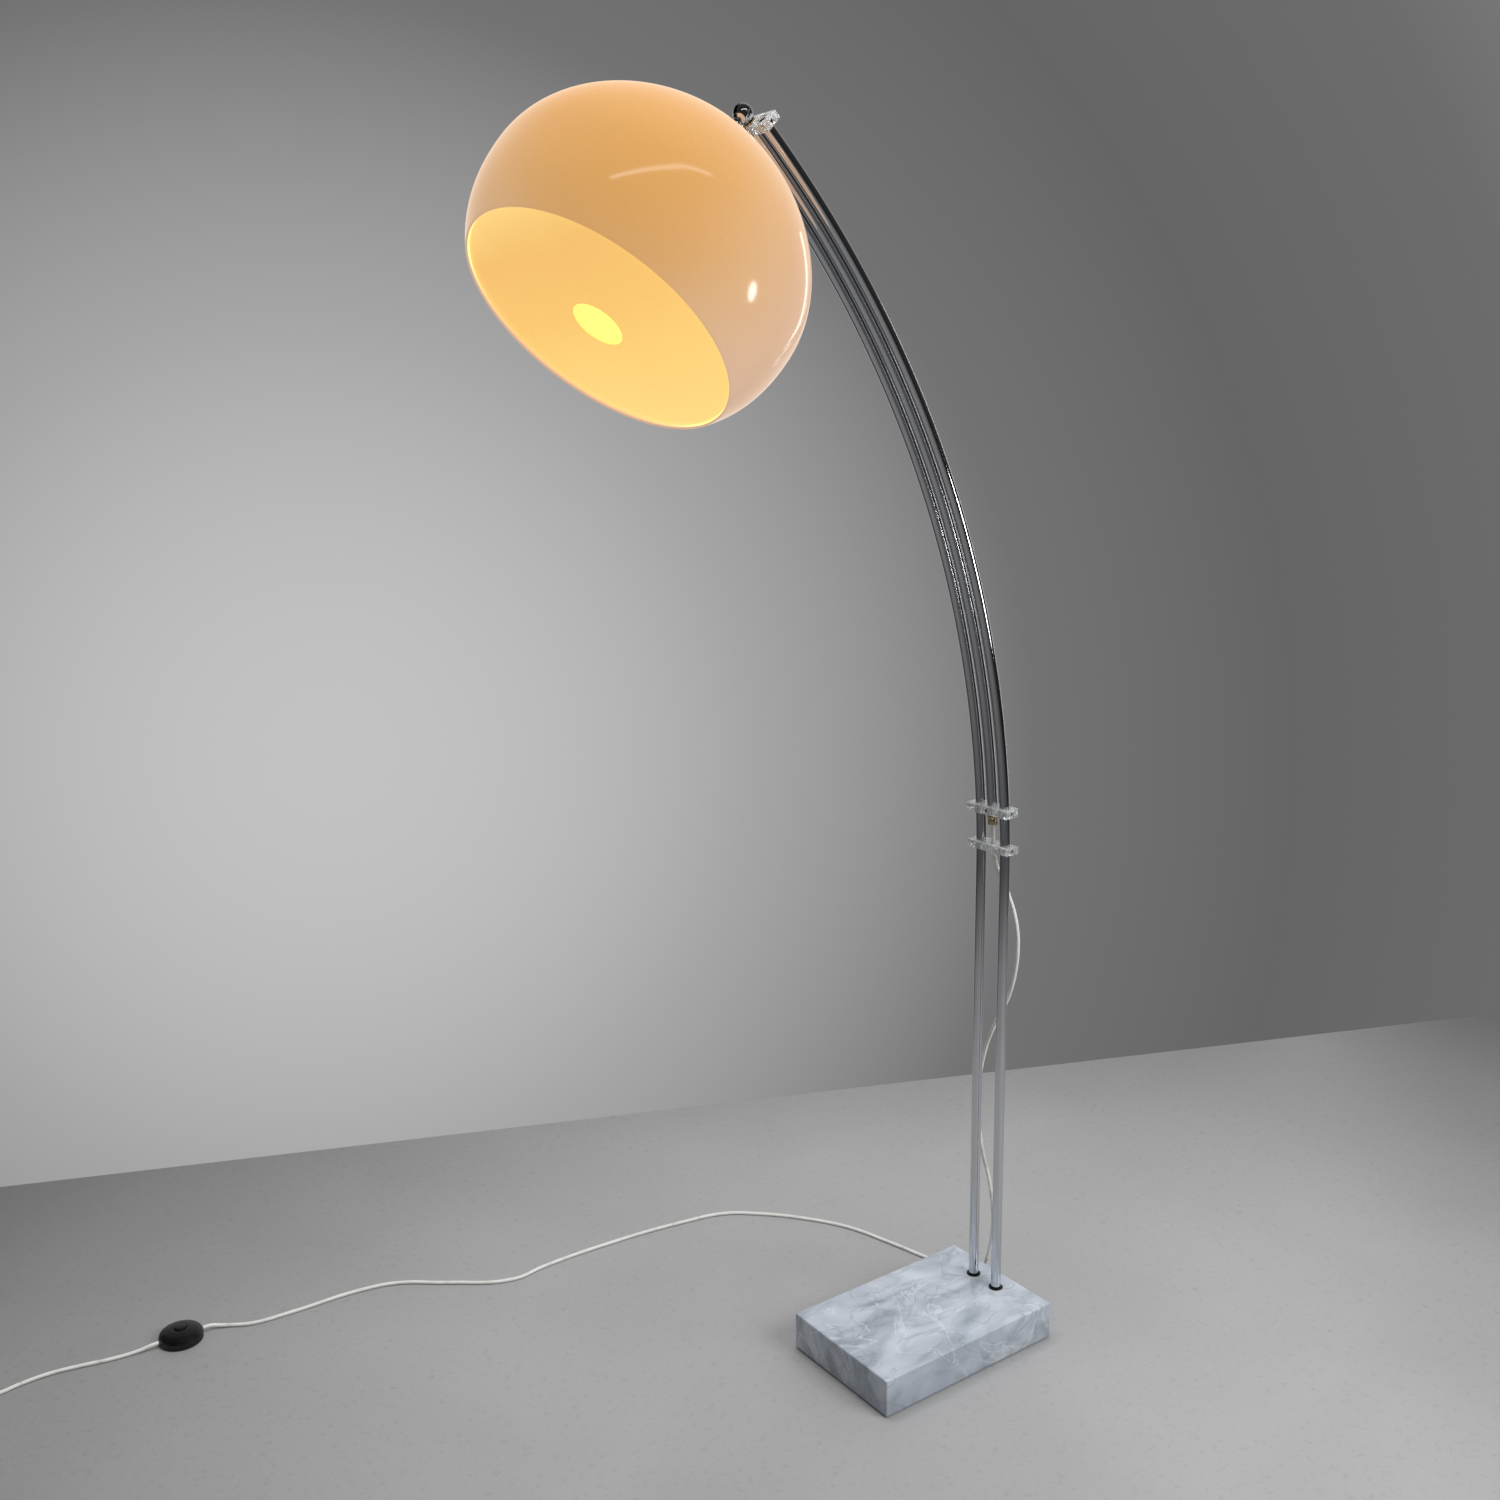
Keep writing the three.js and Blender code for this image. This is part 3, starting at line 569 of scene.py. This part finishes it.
def diffuser_look():
    """Opal acrylic with a painted glow of light from inside: brightest round its lower half and edge, a little
    deeper above the hole.
    """
    look = Look("pale_acrylic", IOR=1.49, Emission_Strength=DIFFUSER_GLOW)
    height = look.spread(look.along(HOLE_AT, SHADE_UP), 0.0, 1.0, -0.18, 0.18)
    drift = look.spread(look.noise(5, 2), *DRIFT)
    glow = look.ramp(look.maths("ADD", height, drift),
                     (0.0, colour(255, 220, 132)), (0.38, colour(252, 208, 118)),
                     (0.56, colour(249, 198, 110)), (0.82, colour(244, 192, 108)),
                     (1.0, colour(252, 214, 132)))
    body = look.ramp(look.noise(300, 4), (0.3, colour(232, 184, 112)), (0.7, colour(238, 192, 120)))
    return look.set(Base_Color=body, Emission_Color=glow, Roughness=look.spread(look.noise(40, 3), 0.1, 0.18))


def bulb_look():
    look = Look("opal_glass", IOR=1.5, Emission_Strength=BULB_GLOW)
    glow = look.ramp(look.noise(30, 2), (0.3, colour(255, 244, 170)), (0.7, colour(255, 250, 196)))
    body = look.ramp(look.noise(80, 2), (0.3, (0.85, 0.83, 0.76, 1)), (0.7, (0.9, 0.88, 0.82, 1)))
    return look.set(Base_Color=body, Emission_Color=glow,
                    Roughness=look.spread(look.noise(50, 2), 0.15, 0.25))


CHROME = chrome_look()
STEEL = steel_look()
BRASS = brass_look()
MARBLE = marble_look()
CLEAR = clear_look()
DOME = dome_look()
INSIDE = inside_look()
DIFFUSER = diffuser_look()
BULB = bulb_look()
BLACK = plastic_look("black_plastic", (0.004, 0.004, 0.005, 1), (0.009, 0.009, 0.010, 1), (0.3, 0.46))
WHITE = plastic_look("white_plastic", (0.72, 0.71, 0.68, 1), (0.8, 0.79, 0.77, 1), (0.25, 0.4))
CERAMIC = plastic_look("ceramic", (0.76, 0.74, 0.68, 1), (0.84, 0.82, 0.77, 1), (0.1, 0.2), 240, 0.04)
FELT = felt_look()
SHEATH = lead_look()

SLOT_LOOKS = {
    "marble": MARBLE, "chrome": CHROME, "steel": STEEL, "brass": BRASS, "clear_acrylic": CLEAR,
    "amber_acrylic": DOME, "pale_acrylic": DIFFUSER, "black_plastic": BLACK, "white_plastic": WHITE,
    "lead": SHEATH, "ceramic": CERAMIC, "bulb_glass": BULB, "felt": FELT,
}


def dress_cad_nodes():
    """Every CAD node that stays takes the look of its slot in the record."""
    for row in frame["record"]["subparts"]:
        node = NODES[row["node"]]
        node.data.materials.clear()
        node.data.materials.append(SLOT_LOOKS[row["material_slot"]])


dress_cad_nodes()

# ---------------------------------------------------------------- Foot switch and plug

SWITCH_FRAME = Matrix.Translation(Vector((-969, 738, 0)) * MM)
PLUG_FRAME = Matrix.Translation(Vector((-1331, 833.4, 7)) * MM)
PLUG = {"half_thickness": 6.85, "chamfer": 2.2, "pin_offset": 9.3, "pin_start": 36.3}
SLEEVE = {"bore": 3.15, "radius": 5.6, "taper": 0.42, "groove": 1.1, "pitch": 4.2, "ribs": 5, "length": 21}


def add_switch():
    base = turned([
        (0, 0), (34, 0), (35, 1), (35, 4), (32.5, 4), (32.5, 6.5), (31, 6.5), (31, 2.5), (0, 2.5),
    ], SWITCH_FRAME, round_off=0.5)
    cover = turned([
        (35, 4.4), (35, 10.6), (32.8, 15.4), (26, 19.4), (15.3, 22), (10.3, 22), (10.3, 20), (15.3, 20),
        (25, 17.5), (30.5, 14), (32.8, 10.5), (32.8, 4.4), (35, 4.4),
    ], SWITCH_FRAME, round_off=2.0)
    button = turned([
        (0, 14.5), (4, 14.5), (4, 16), (11.7, 16), (11.7, 18), (9.7, 18), (9.7, 23.4), (7.7, 24.6), (0, 25.2),
    ], SWITCH_FRAME, round_off=0.8)
    return [
        new_piece("foot_switch_base", base, BLACK, "frame", ["switch_base"]),
        new_piece("foot_switch_cover", cover, BLACK, "frame", ["switch_cover"]),
        new_piece("foot_switch_button", button, BLACK, "button", ["switch_button"]),
    ]


def add_plug():
    outline = [(-7, 0), (7, 0), (8, 8), (17.5, 22), (17.5, 36), (-17.5, 36), (-17.5, 22), (-8, 8)]
    body = prism(outline, -PLUG["half_thickness"], PLUG["half_thickness"], PLUG_FRAME, PLUG["chamfer"])
    pieces = [new_piece("plug_shell", body, WHITE, "frame", ["plug_body"])]
    for name, side in (("left", 1), ("right", -1)):
        at = facing(PLUG_FRAME, (side * PLUG["pin_offset"], PLUG["pin_start"], 0), "X", -90)
        pin = turned([(0, 0), (2, 0), (2, 18.2), (1.2, 19), (0, 19)], at, 32, 0.5)
        pieces.append(new_piece(f"plug_pin_round_{name}", pin, BRASS, "frame", [f"plug_pin_{name}"]))
    sleeve_at = facing(PLUG_FRAME, (0, 0.4, 0), "X", 90)
    bore = SLEEVE["bore"]
    rings = [(bore, 0)]
    for i in range(SLEEVE["ribs"]):
        radius = SLEEVE["radius"] - SLEEVE["taper"] * i
        groove = radius - SLEEVE["groove"]
        low = SLEEVE["pitch"] * i
        rings += [(radius, low), (radius - 0.2, low + 2.6), (groove, low + 2.9), (groove, low + 4.1)]
    sleeve = turned([*rings, (bore, SLEEVE["length"]), (bore, 0)], sleeve_at, 40, 0.25)
    pieces.append(new_piece("plug_strain_relief", sleeve, WHITE, "frame", ()))
    return pieces


switch_pieces = add_switch()
plug_pieces = add_plug()

lead_main = add_lead("lead_main", LEAD_TO_SWITCH, SHEATH)
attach(lead_main, "frame")
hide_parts("cord_to_switch")

TAIL_ROUTE = LEAD_TO_COIL + coil_points() + LEAD_TO_PLUG
lead_tail = add_lead("lead_tail", TAIL_ROUTE, SHEATH)
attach(lead_tail, "frame")
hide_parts("cord_to_coil", "cord_coil", "cord_to_plug")

# ---------------------------------------------------------------- Base and tubes

BASE = {"length": 348, "width": 225, "low": 1.8, "top": 62, "chamfer": 2.2, "bolt_hole": 5.5}
TUBE_EDGE = 0.4
TUBE_END = TOP_BAR + 3
MIDDLE_TUBE_START = UPPER_BAR - 9


def tube_place(side, height):
    """An upright frame on an outer tube's line, at that height."""
    return Matrix.Translation(Vector((TUBE["x"], side * TUBE["pitch"], height)) * MM)


def add_base():
    height = BASE["top"] - BASE["low"]
    middle = Matrix.Translation(Vector((0, 0, BASE["low"] + height / 2)) * MM)
    body = block((BASE["length"], BASE["width"], height), middle, BASE["chamfer"], 4)
    holes = [rod(BASE["bolt_hole"], -10, 80, tube_place(side, 0), 24) for side in (1, -1)]
    new_piece("marble_block", cut(body, *holes), MARBLE, "frame", ["marble_base"])


def add_collar(name, side):
    profile = [(8.3, 0), (11.5, 0), (11.5, 1.25), (10.3, 2.5), (8.3, 2.5), (8.3, 0)]
    ring = turned(profile, tube_place(side, FOOT), round_off=0.35)
    new_piece(f"foot_collar_{name}", ring, BLACK, "frame", [f"tube_collar_{name}"])


def add_tube(name, y, start, end):
    """A hollow tube from start to end along the bend; below 0 it runs straight down."""
    bm = bmesh.new()
    first = max(0.0, start)
    stations = [start] if start < 0 else []
    stations += [first + (end - first) * i / BEND["steps"] for i in range(BEND["steps"] + 1)]

    def ring(along, radius):
        centre, lean = on_bend(along, y)
        made = []
        for i in range(TUBE["sides"]):
            angle = 2 * math.pi * i / TUBE["sides"]
            outwards = math.cos(angle) * radius
            offset = Vector((outwards * math.cos(lean), math.sin(angle) * radius, outwards * math.sin(lean)))
            made.append(bm.verts.new((centre + offset) * MM))
        return made

    eased_radius = TUBE["radius"] - TUBE_EDGE
    outer = [ring(start, eased_radius)]
    outer += [ring(along, TUBE["radius"]) for along in [start + TUBE_EDGE, *stations[1:-1], end - TUBE_EDGE]]
    outer += [ring(end, eased_radius)]
    inner = [ring(along, TUBE["bore"]) for along in reversed(stations)]
    loft(bm, outer + inner, True)
    new_piece(f"tube_{name}_round", bm, CHROME, "frame", [f"tube_{name}"])


add_base()
for side_name, side_sign in (("left", 1), ("right", -1)):
    add_collar(side_name, side_sign)
    add_tube(side_name, side_sign * TUBE["pitch"], FOOT - BEND["start"], TUBE_END)
add_tube("middle", 0, MIDDLE_TUBE_START, TUBE_END)

# ---------------------------------------------------------------- Clamp bars

BAR = {"length": 85, "width": 27, "chamfer": 1.4, "bore": 8.35}
END_SCREW = {"radius": 2.5, "length": 6.8, "at": 34.6, "hole": 2.7, "hole_at": 33}
FRONT_SCREW = {"radius": 3, "length": 4.6, "at": -8.6, "hole": 3.2, "hole_at": -7}
HOLE_REACH = 20


def socket_screw(radius, length, place):
    socket, floor = radius * 0.5, 0.6 * length
    profile = [(0, 0), (radius, 0), (radius, length), (socket, length), (socket, floor), (0, floor)]
    return turned(profile, place, 32, 0.3)


def slotted_screw(radius, length, place):
    slot = block((3 * radius, radius * 0.3, length * 0.5), shifted(place, (0, 0, length)), 0.02, 1)
    return cut(rod(radius, 0, length, place, 32, 0.3), slot)


def add_clamp_bar(name, along, thickness, middle_bore, front_screw):
    at = bend_frame(along)
    body = block((BAR["width"], BAR["length"], thickness), at, BAR["chamfer"], 3)
    bores = ((TUBE["pitch"], BAR["bore"]), (-TUBE["pitch"], BAR["bore"]), (0, middle_bore))
    tools = [rod(radius, -thickness, thickness, shifted(at, (0, y, 0)), 48) for y, radius in bores]
    for side in (1, -1):
        hole_at = facing(at, (0, side * END_SCREW["hole_at"], 0), "X", -90 * side)
        tools.append(rod(END_SCREW["hole"], 0, HOLE_REACH, hole_at))
    if front_screw:
        hole_at = facing(at, (FRONT_SCREW["hole_at"], 0, 0), "Y", -90)
        tools.append(rod(FRONT_SCREW["hole"], 0, HOLE_REACH, hole_at))
    new_piece(f"{name}_bar_clear", cut(body, *tools), CLEAR, "frame", [f"{name}_bar"])
    for side_name, side in (("left", 1), ("right", -1)):
        node = f"{name}_bar_screw_{side_name}"
        screw_at = facing(at, (0, side * END_SCREW["at"], 0), "X", -90 * side)
        screw = socket_screw(END_SCREW["radius"], END_SCREW["length"], screw_at)
        new_piece(f"{node}_fine", screw, STEEL, "frame", [node])
    if front_screw:
        node = f"{name}_bar_screw_middle"
        screw_at = facing(at, (FRONT_SCREW["at"], 0, 0), "Y", -90)
        screw = slotted_screw(FRONT_SCREW["radius"], FRONT_SCREW["length"], screw_at)
        new_piece(f"{node}_fine", screw, BRASS, "frame", [node])


def hexagon(across_flats):
    radius = across_flats / math.sqrt(3)
    angles = [math.radians(60 * i) for i in range(6)]
    return [(radius * math.cos(angle), radius * math.sin(angle)) for angle in angles]


def hex_nut(across_flats, bore, low, high, place):
    hole = rod(bore, low - 2, high + 2, place)
    return cut(prism(hexagon(across_flats), low, high, place, 0.35), hole)


def add_cord_fittings():
    at = bend_frame(UPPER_BAR)
    nipple = turned([
        (3.2, -20), (5, -20), (5, -9), (5.9, -9), (5.9, 8), (3.2, 8), (3.2, -20),
    ], at, round_off=0.2)
    new_piece("cord_nipple_fine", nipple, BRASS, "frame", ["cord_nipple"])
    new_piece("nipple_nut_fine", hex_nut(14, 5.3, -13.5, -9.3, at), BRASS, "frame", ["nipple_nut"])
    grip = turned([
        (3.2, -25.3), (6, -25.3), (7.5, -23.8), (7.5, -14.8), (6.5, -13.8), (5.3, -13.8), (5.3, -20.3),
        (3.2, -20.3), (3.2, -25.3),
    ], at, round_off=0.3)
    hole = rod(1.8, 0, 7.5, facing(at, (-5, 0, -17), "Y", -90), 24)
    new_piece("cord_grip_fine", cut(grip, hole), BRASS, "frame", ["cord_grip"])
    screw = slotted_screw(1.5, 3.4, facing(at, (-5.6, 0, -17), "Y", -90))
    new_piece("cord_grip_screw_fine", screw, BRASS, "frame", ["cord_grip_screw"])


add_clamp_bar("lower", LOWER_BAR, 12, 5, False)
add_clamp_bar("upper", UPPER_BAR, 14, BAR["bore"], True)
add_clamp_bar("top", TOP_BAR, 12, BAR["bore"], True)
add_cord_fittings()

# ---------------------------------------------------------------- Swivel ball

def add_swivel():
    top = bend_frame(TOP_BAR)
    nipple = turned([
        (3.2, -22), (5.9, -22), (5.9, 6.3), (9.5, 6.3), (9.5, 7.5), (4.4, 7.5), (4.4, 12.5), (3.2, 12.5),
        (3.2, -22),
    ], top, round_off=0.25)
    new_piece("ball_nipple_fine", nipple, BRASS, "frame", ["ball_nipple"])

    ball_radius, flat, slot, slot_floor = 13, -11.1, 7, 5.2
    steps = 40
    start = math.asin(flat / ball_radius)
    arc = [start + (math.pi / 2 - start) * i / steps for i in range(steps + 1)]
    curved = [(ball_radius * math.cos(angle), ball_radius * math.sin(angle)) for angle in arc[:-1]]
    ball = turned([(0, flat), *curved, (0, ball_radius)], SWIVEL_FRAME, 96, 0)
    opening = 2 * ball_radius
    slot_at = shifted(SWIVEL_FRAME, (slot_floor - opening / 2, 0, opening / 2 - slot_floor))
    pin_at = facing(SWIVEL_FRAME, (0, 0, 0), "X", 90)
    tools = [
        rod(4.8, -20, 1 - slot_floor, SWIVEL_FRAME),
        block((opening, slot, opening), slot_at, 0.05, 1),
        rod(2.3, -15, 15, pin_at, 24),
        rod(3.7, 8, 15, pin_at),
    ]
    new_piece("swivel_ball_fine", cut(ball, *tools), CHROME, "swivel", ["swivel_ball"])
    pivot = turned([(0, -10.5), (2, -10.5), (2, 8.3), (3.4, 8.3), (3.4, 10), (0, 10)], pin_at, 32, 0.3)
    slot_cut = block((8, 0.8, 1.2), facing(SWIVEL_FRAME, (0, -10, 0), "X", 90), 0.02, 1)
    new_piece("pivot_screw_fine", cut(pivot, slot_cut), STEEL, "swivel", ["pivot_screw"])


add_swivel()

# ---------------------------------------------------------------- Shade

DOME_SHAPE = {"widest": 248, "radius": 211, "rise": 188.5, "drop": 106.6, "rim": 180, "wall": 3, "hole": 5.6}
CROWN_PULL = {"side": 0.41, "top": 0.55}
LIP_PULL = {"side": 0.44, "rim": 0.32, "angle": math.radians(34.9)}
CROWN_STEPS, LIP_STEPS, RIM_STEPS = 44, 30, 6
SHADE_SEGMENTS = 160
BULB_AT = BALL_CENTRE + SHADE_AXIS * 0.2
BEHIND_DIFFUSER = 0.345  # metres along the shade's axis


def bezier(points, steps):
    """Points and unit tangents along a cubic curve."""
    a, b, c, d = [Vector(point) for point in points]
    made = []
    for i in range(steps + 1):
        t = i / steps
        u = 1 - t
        place = u ** 3 * a + 3 * u * u * t * b + 3 * u * t * t * c + t ** 3 * d
        slope = 3 * u * u * (b - a) + 6 * u * t * (c - b) + 3 * t * t * (d - c)
        made.append((place, slope.normalized()))
    return made


def dome_outline():
    """The dome's outer surface from its top hole to its rim, as (distance along the axis, radius)."""
    widest, radius, rim = DOME_SHAPE["widest"], DOME_SHAPE["radius"], DOME_SHAPE["rim"]
    rise, drop = DOME_SHAPE["rise"], DOME_SHAPE["drop"]
    crown = bezier([(widest - rise, 0), (widest - rise, CROWN_PULL["side"] * radius),
                    (widest - CROWN_PULL["top"] * rise, radius), (widest, radius)], CROWN_STEPS)
    pull = LIP_PULL["rim"] * drop
    towards_rim = (widest + drop - pull * math.cos(LIP_PULL["angle"]),
                   rim + pull * math.sin(LIP_PULL["angle"]))
    lip = bezier([(widest, radius), (widest + LIP_PULL["side"] * drop, radius), towards_rim,
                  (widest + drop, rim)], LIP_STEPS)
    return crown + lip[1:]


def add_dome():
    outline = dome_outline()
    wall, hole = DOME_SHAPE["wall"], DOME_SHAPE["hole"]
    outer = [(place.y, place.x) for place, _ in outline if place.y > hole]
    inner = []
    for place, slope in outline:
        inwards = Vector((slope.y, -slope.x))
        moved = place + inwards * wall
        if moved.y > hole:
            inner.append((moved.y, moved.x))
    rim_place, rim_slope = outline[-1]
    rim_inwards = Vector((rim_slope.y, -rim_slope.x))
    middle = rim_place + rim_inwards * wall / 2
    rounded = []
    for i in range(1, RIM_STEPS):
        angle = math.pi * i / RIM_STEPS
        side = -math.cos(angle) * wall / 2
        forth = math.sin(angle) * wall / 2
        point = middle + rim_inwards * side + rim_slope * forth
        rounded.append((point.y, point.x))
    top = DOME_SHAPE["widest"] - DOME_SHAPE["rise"]
    profile = [(hole, top), *outer, *rounded, *reversed(inner), (hole, top + wall), (hole, top)]
    bm = turned(profile, SHADE_FRAME, SHADE_SEGMENTS, 0)
    dome = new_piece("dome_shell", bm, DOME, "shade", ["shade_dome"])
    dome.data.materials.append(INSIDE)
    mark_inside(dome)


def mark_inside(dome):
    """Gives the faces behind the diffuser that look towards the bulb the inner wall's material, with its painted
    glow of bulb light.
    """
    for face in dome.data.polygons:
        behind = (face.center - BALL_CENTRE).dot(SHADE_AXIS) < BEHIND_DIFFUSER
        if behind and (BULB_AT - face.center).dot(face.normal) > 0:
            face.material_index = 1


def add_diffuser():
    radius, hole, edge, crown, wall = 177, 33.5, 350.3, 354.2, 2.5
    steps = 24
    face = []
    for i in range(steps + 1):
        r = radius + (hole - radius) * i / steps
        face.append((r, crown - (crown - edge) * (r / radius) ** 2))
    inner_edge = [(hole - 0.5, face[-1][1] - 0.7), (hole - 0.5, face[-1][1] - wall + 0.7)]
    back = [(r, z - wall) for r, z in reversed(face)]
    bm = turned([*face, *inner_edge, *back, face[0]], SHADE_FRAME, SHADE_SEGMENTS, 0)
    new_piece("diffuser_disc", bm, DIFFUSER, "shade", ["inner_diffuser"])


def add_bulb():
    neck, globe, start, end, wall = 12.6, 30, 118.3, 203, 1.2
    middle = end - globe
    steps, below = 28, 0.7  # the globe's curve starts this angle below its middle
    arc = [-below + (math.pi / 2 + below) * i / steps for i in range(steps + 1)]

    def shell(radius, neck_radius):
        sphere = [(radius * math.cos(a), middle + radius * math.sin(a)) for a in arc]
        sphere[-1] = (0, middle + radius)
        return [(neck_radius, start), (neck_radius, start + 12), *sphere]

    profile = [*shell(globe, neck), *reversed(shell(globe - wall, neck - wall)), (neck, start)]
    bm = turned(profile, SHADE_FRAME, 64, 0)
    new_piece("bulb_globe", bm, BULB, "shade", ["bulb_glass"])


def add_shade_fittings():
    hole, top = 5.3, 59.5
    stem = turned([(3.2, 20.3), (5, 20.3), (5, 76), (3.2, 76), (3.2, 20.3)], SHADE_FRAME, round_off=0.3)
    new_piece("stem_fine", stem, CHROME, "shade", ["shade_stem"])
    cap = turned([
        (hole, top - 10), (7.5, top - 10), (12, top - 7.5), (15.5, top - 3.5), (16, top - 0.3),
        (hole, top - 0.3), (hole, top - 10),
    ], SHADE_FRAME, round_off=1.2)
    new_piece("cap_fine", cap, CHROME, "shade", ["shade_cap"])
    pin_at = facing(SHADE_FRAME, (0, 0, 0), "X", 90)
    rounded_eye = rod(4.9, -3.2, 3.2, pin_at, 48, 0.5)
    pin_hole = rod(2.3, -8, 8, pin_at, 24)
    shoulder = turned([(0, 14), (5.2, 14), (6.2, 15), (6.2, 20), (0, 20)], SHADE_FRAME, 48, 0.3)
    arm = block((7.6, 6.4, 15), shifted(SHADE_FRAME, (0, 0, 7.5)), 0.5, 2)
    new_piece("tongue_fine", cut(joined(rounded_eye, arm, shoulder), pin_hole), CHROME, "shade",
              ["pivot_tongue"])
    body = turned([
        (0, 84.5), (20, 84.5), (20, 122), (19, 124), (14, 124), (14, 90), (0, 90),
    ], SHADE_FRAME, round_off=0.8)
    new_piece("lampholder_body_fine", body, CERAMIC, "shade", ["lampholder_body"])


add_dome()
add_diffuser()
add_bulb()
add_shade_fittings()

# ---------------------------------------------------------------- Stage and light

WALL_LINE = (Vector((-1.112, 1.489, 0)), Vector((2.073, 0.176, 0)))  # where the photo's floor ends
FLOOR_REACH = 7.0
# centre of the floor's painted pool of light; painted shade darkens the floor away from it
FLOOR_MIDDLE = (-0.1, -0.1, 0)  # the floor is lightest here and darkens with distance


def floor_look():
    look = Look("pale_floor", Specular_IOR_Level=0.3)
    patches = look.noise(1.6, 5, 0.4)
    specks = look.noise(90, 6, 0.6)
    tone = look.ramp(patches, (0.3, colour(166, 166, 167)), (0.7, colour(178, 178, 179)))
    tone = look.mix(look.spread(specks, 0.0, 0.22, 0.56, 0.72), tone, colour(120, 120, 121))
    # painted light: a pool of light round FLOOR_MIDDLE, with painted shade growing with distance
    distance = look.tree.nodes.new("ShaderNodeVectorMath")
    distance.operation = "DISTANCE"
    distance.inputs[1].default_value = FLOOR_MIDDLE
    look.fill(distance.inputs[0], look.point)
    reach = look.spread(distance.outputs["Value"], 0.0, 1.0, 0.7, 3.6)
    painted_light_falloff = look.ramp(reach, (0.0, (1, 1, 1, 1)), (0.3, (0.66, 0.66, 0.66, 1)), (0.6, (0.3, 0.3, 0.3, 1)),
                     (1.0, (0.12, 0.12, 0.12, 1)))
    tone = look.mix(1.0, tone, painted_light_falloff, "MULTIPLY")
    look.bump(specks, 0.05, 0.001)
    return look.set(Base_Color=tone, Roughness=look.spread(patches, 0.45, 0.65))


def add_floor():
    along = (WALL_LINE[1] - WALL_LINE[0]).normalized()
    towards_camera = Vector((along.y, -along.x, 0))
    middle = (WALL_LINE[0] + WALL_LINE[1]) / 2
    bm = bmesh.new()
    corners = [middle - along * FLOOR_REACH, middle + along * FLOOR_REACH]
    corners += [corner + towards_camera * FLOOR_REACH for corner in reversed(corners)]
    bm.faces.new([bm.verts.new(corner) for corner in corners])
    mesh = bpy.data.meshes.new("floor")
    bm.to_mesh(mesh)
    bm.free()
    mesh.materials.append(floor_look())
    floor = bpy.data.objects.new("floor", mesh)
    bpy.context.scene.collection.objects.link(floor)


def add_area(name, place, target, size, watts, mirrored=True, shape="RECTANGLE"):
    """A soft light that the camera doesn't see itself."""
    light = bpy.data.lights.new(name, "AREA")
    light.shape = shape
    light.size, light.size_y = size
    light.energy = watts
    lamp = bpy.data.objects.new(name, light)
    bpy.context.scene.collection.objects.link(lamp)
    lamp.location = place
    lamp.rotation_euler = (Vector(target) - Vector(place)).to_track_quat("-Z", "Y").to_euler()
    lamp.visible_camera = False
    lamp.visible_glossy = mirrored


def add_world():
    """A plain pale room: pale where the photo's wall is, darker behind the camera."""
    world = bpy.data.worlds.new("room")
    bpy.context.scene.world = world
    world.use_nodes = True
    tree = world.node_tree
    background = tree.nodes["Background"]
    point = tree.nodes.new("ShaderNodeTexCoord").outputs["Generated"]

    def towards(direction):
        node = tree.nodes.new("ShaderNodeVectorMath")
        node.operation = "DOT_PRODUCT"
        node.inputs[1].default_value = Vector(direction).normalized()
        tree.links.new(point, node.inputs[0])
        return node.outputs["Value"]

    def ramp(factor, *stops):
        node = tree.nodes.new("ShaderNodeValToRGB")
        set_stops(node.color_ramp, [(place, (grey, grey, grey, 1)) for place, grey in stops])
        tree.links.new(factor, node.inputs["Fac"])
        return node.outputs["Color"]

    # what the camera sees of the room: a backdrop with painted shade, brightest along this direction and darker in
    # a ring round it
    seen = ramp(towards((0.33, 0.92, -0.20)), (0.0, 0.42), (0.5, 0.34), (0.72, 0.15), (0.82, 0.13),
                (0.90, 0.17), (0.965, 0.38), (1.0, 0.54))
    wall_side = tree.nodes.new("ShaderNodeMapRange")
    wall_side.inputs["From Min"].default_value = -1.0
    tree.links.new(towards((0.58, 0.81, 0.15)), wall_side.inputs["Value"])
    wall_share = wall_side.outputs["Result"]
    lit = ramp(wall_share, (0.0, 0.10), (0.45, 0.13), (0.68, 0.30), (0.9, 0.42), (1.0, 0.45))
    mirrored = ramp(wall_share, (0.0, 0.025), (0.55, 0.03), (0.76, 0.07), (0.9, 0.34), (1.0, 0.5))
    path = tree.nodes.new("ShaderNodeLightPath")

    def choose(ray, otherwise, chosen):
        node = tree.nodes.new("ShaderNodeMix")
        node.data_type = "RGBA"
        tree.links.new(path.outputs[ray], node.inputs["Factor"])
        tree.links.new(otherwise, node.inputs[MIX_FIRST])
        tree.links.new(chosen, node.inputs[MIX_SECOND])
        return node.outputs[MIX_RESULT]

    by_ray = choose("Is Glossy Ray", lit, mirrored)
    by_ray = choose("Is Transmission Ray", by_ray, seen)
    by_ray = choose("Is Camera Ray", by_ray, seen)
    tree.links.new(by_ray, background.inputs["Color"])
    background.inputs["Strength"].default_value = 1.0


def add_lights():
    add_area("key", (0.7, -2.6, 2.4), (-0.1, 0.1, 0.3), (1.8, 1.4), 62, mirrored=False)
    add_area("overhead", (-0.3, 0.3, 3.2), (-0.3, 0.2, 0.0), (1.6, 1.6), 52, mirrored=False)
    add_area("window", (2.7, 1.1, 1.3), (0.1, 0.0, 1.1), (0.3, 2.2), 4.5)
    add_area("dome_strip", (-0.85, -1.35, 3.15), (-0.58, -0.19, 1.7), (2.2, 0.09), 2.6)
    add_area("dome_spot", (1.04, -1.69, 0.97), (-0.475, -0.227, 1.603), (0.26, 0.44), 4.5, shape="ELLIPSE")


add_floor()
add_world()
add_lights()
bpy.context.scene.view_settings.view_transform = "Standard"
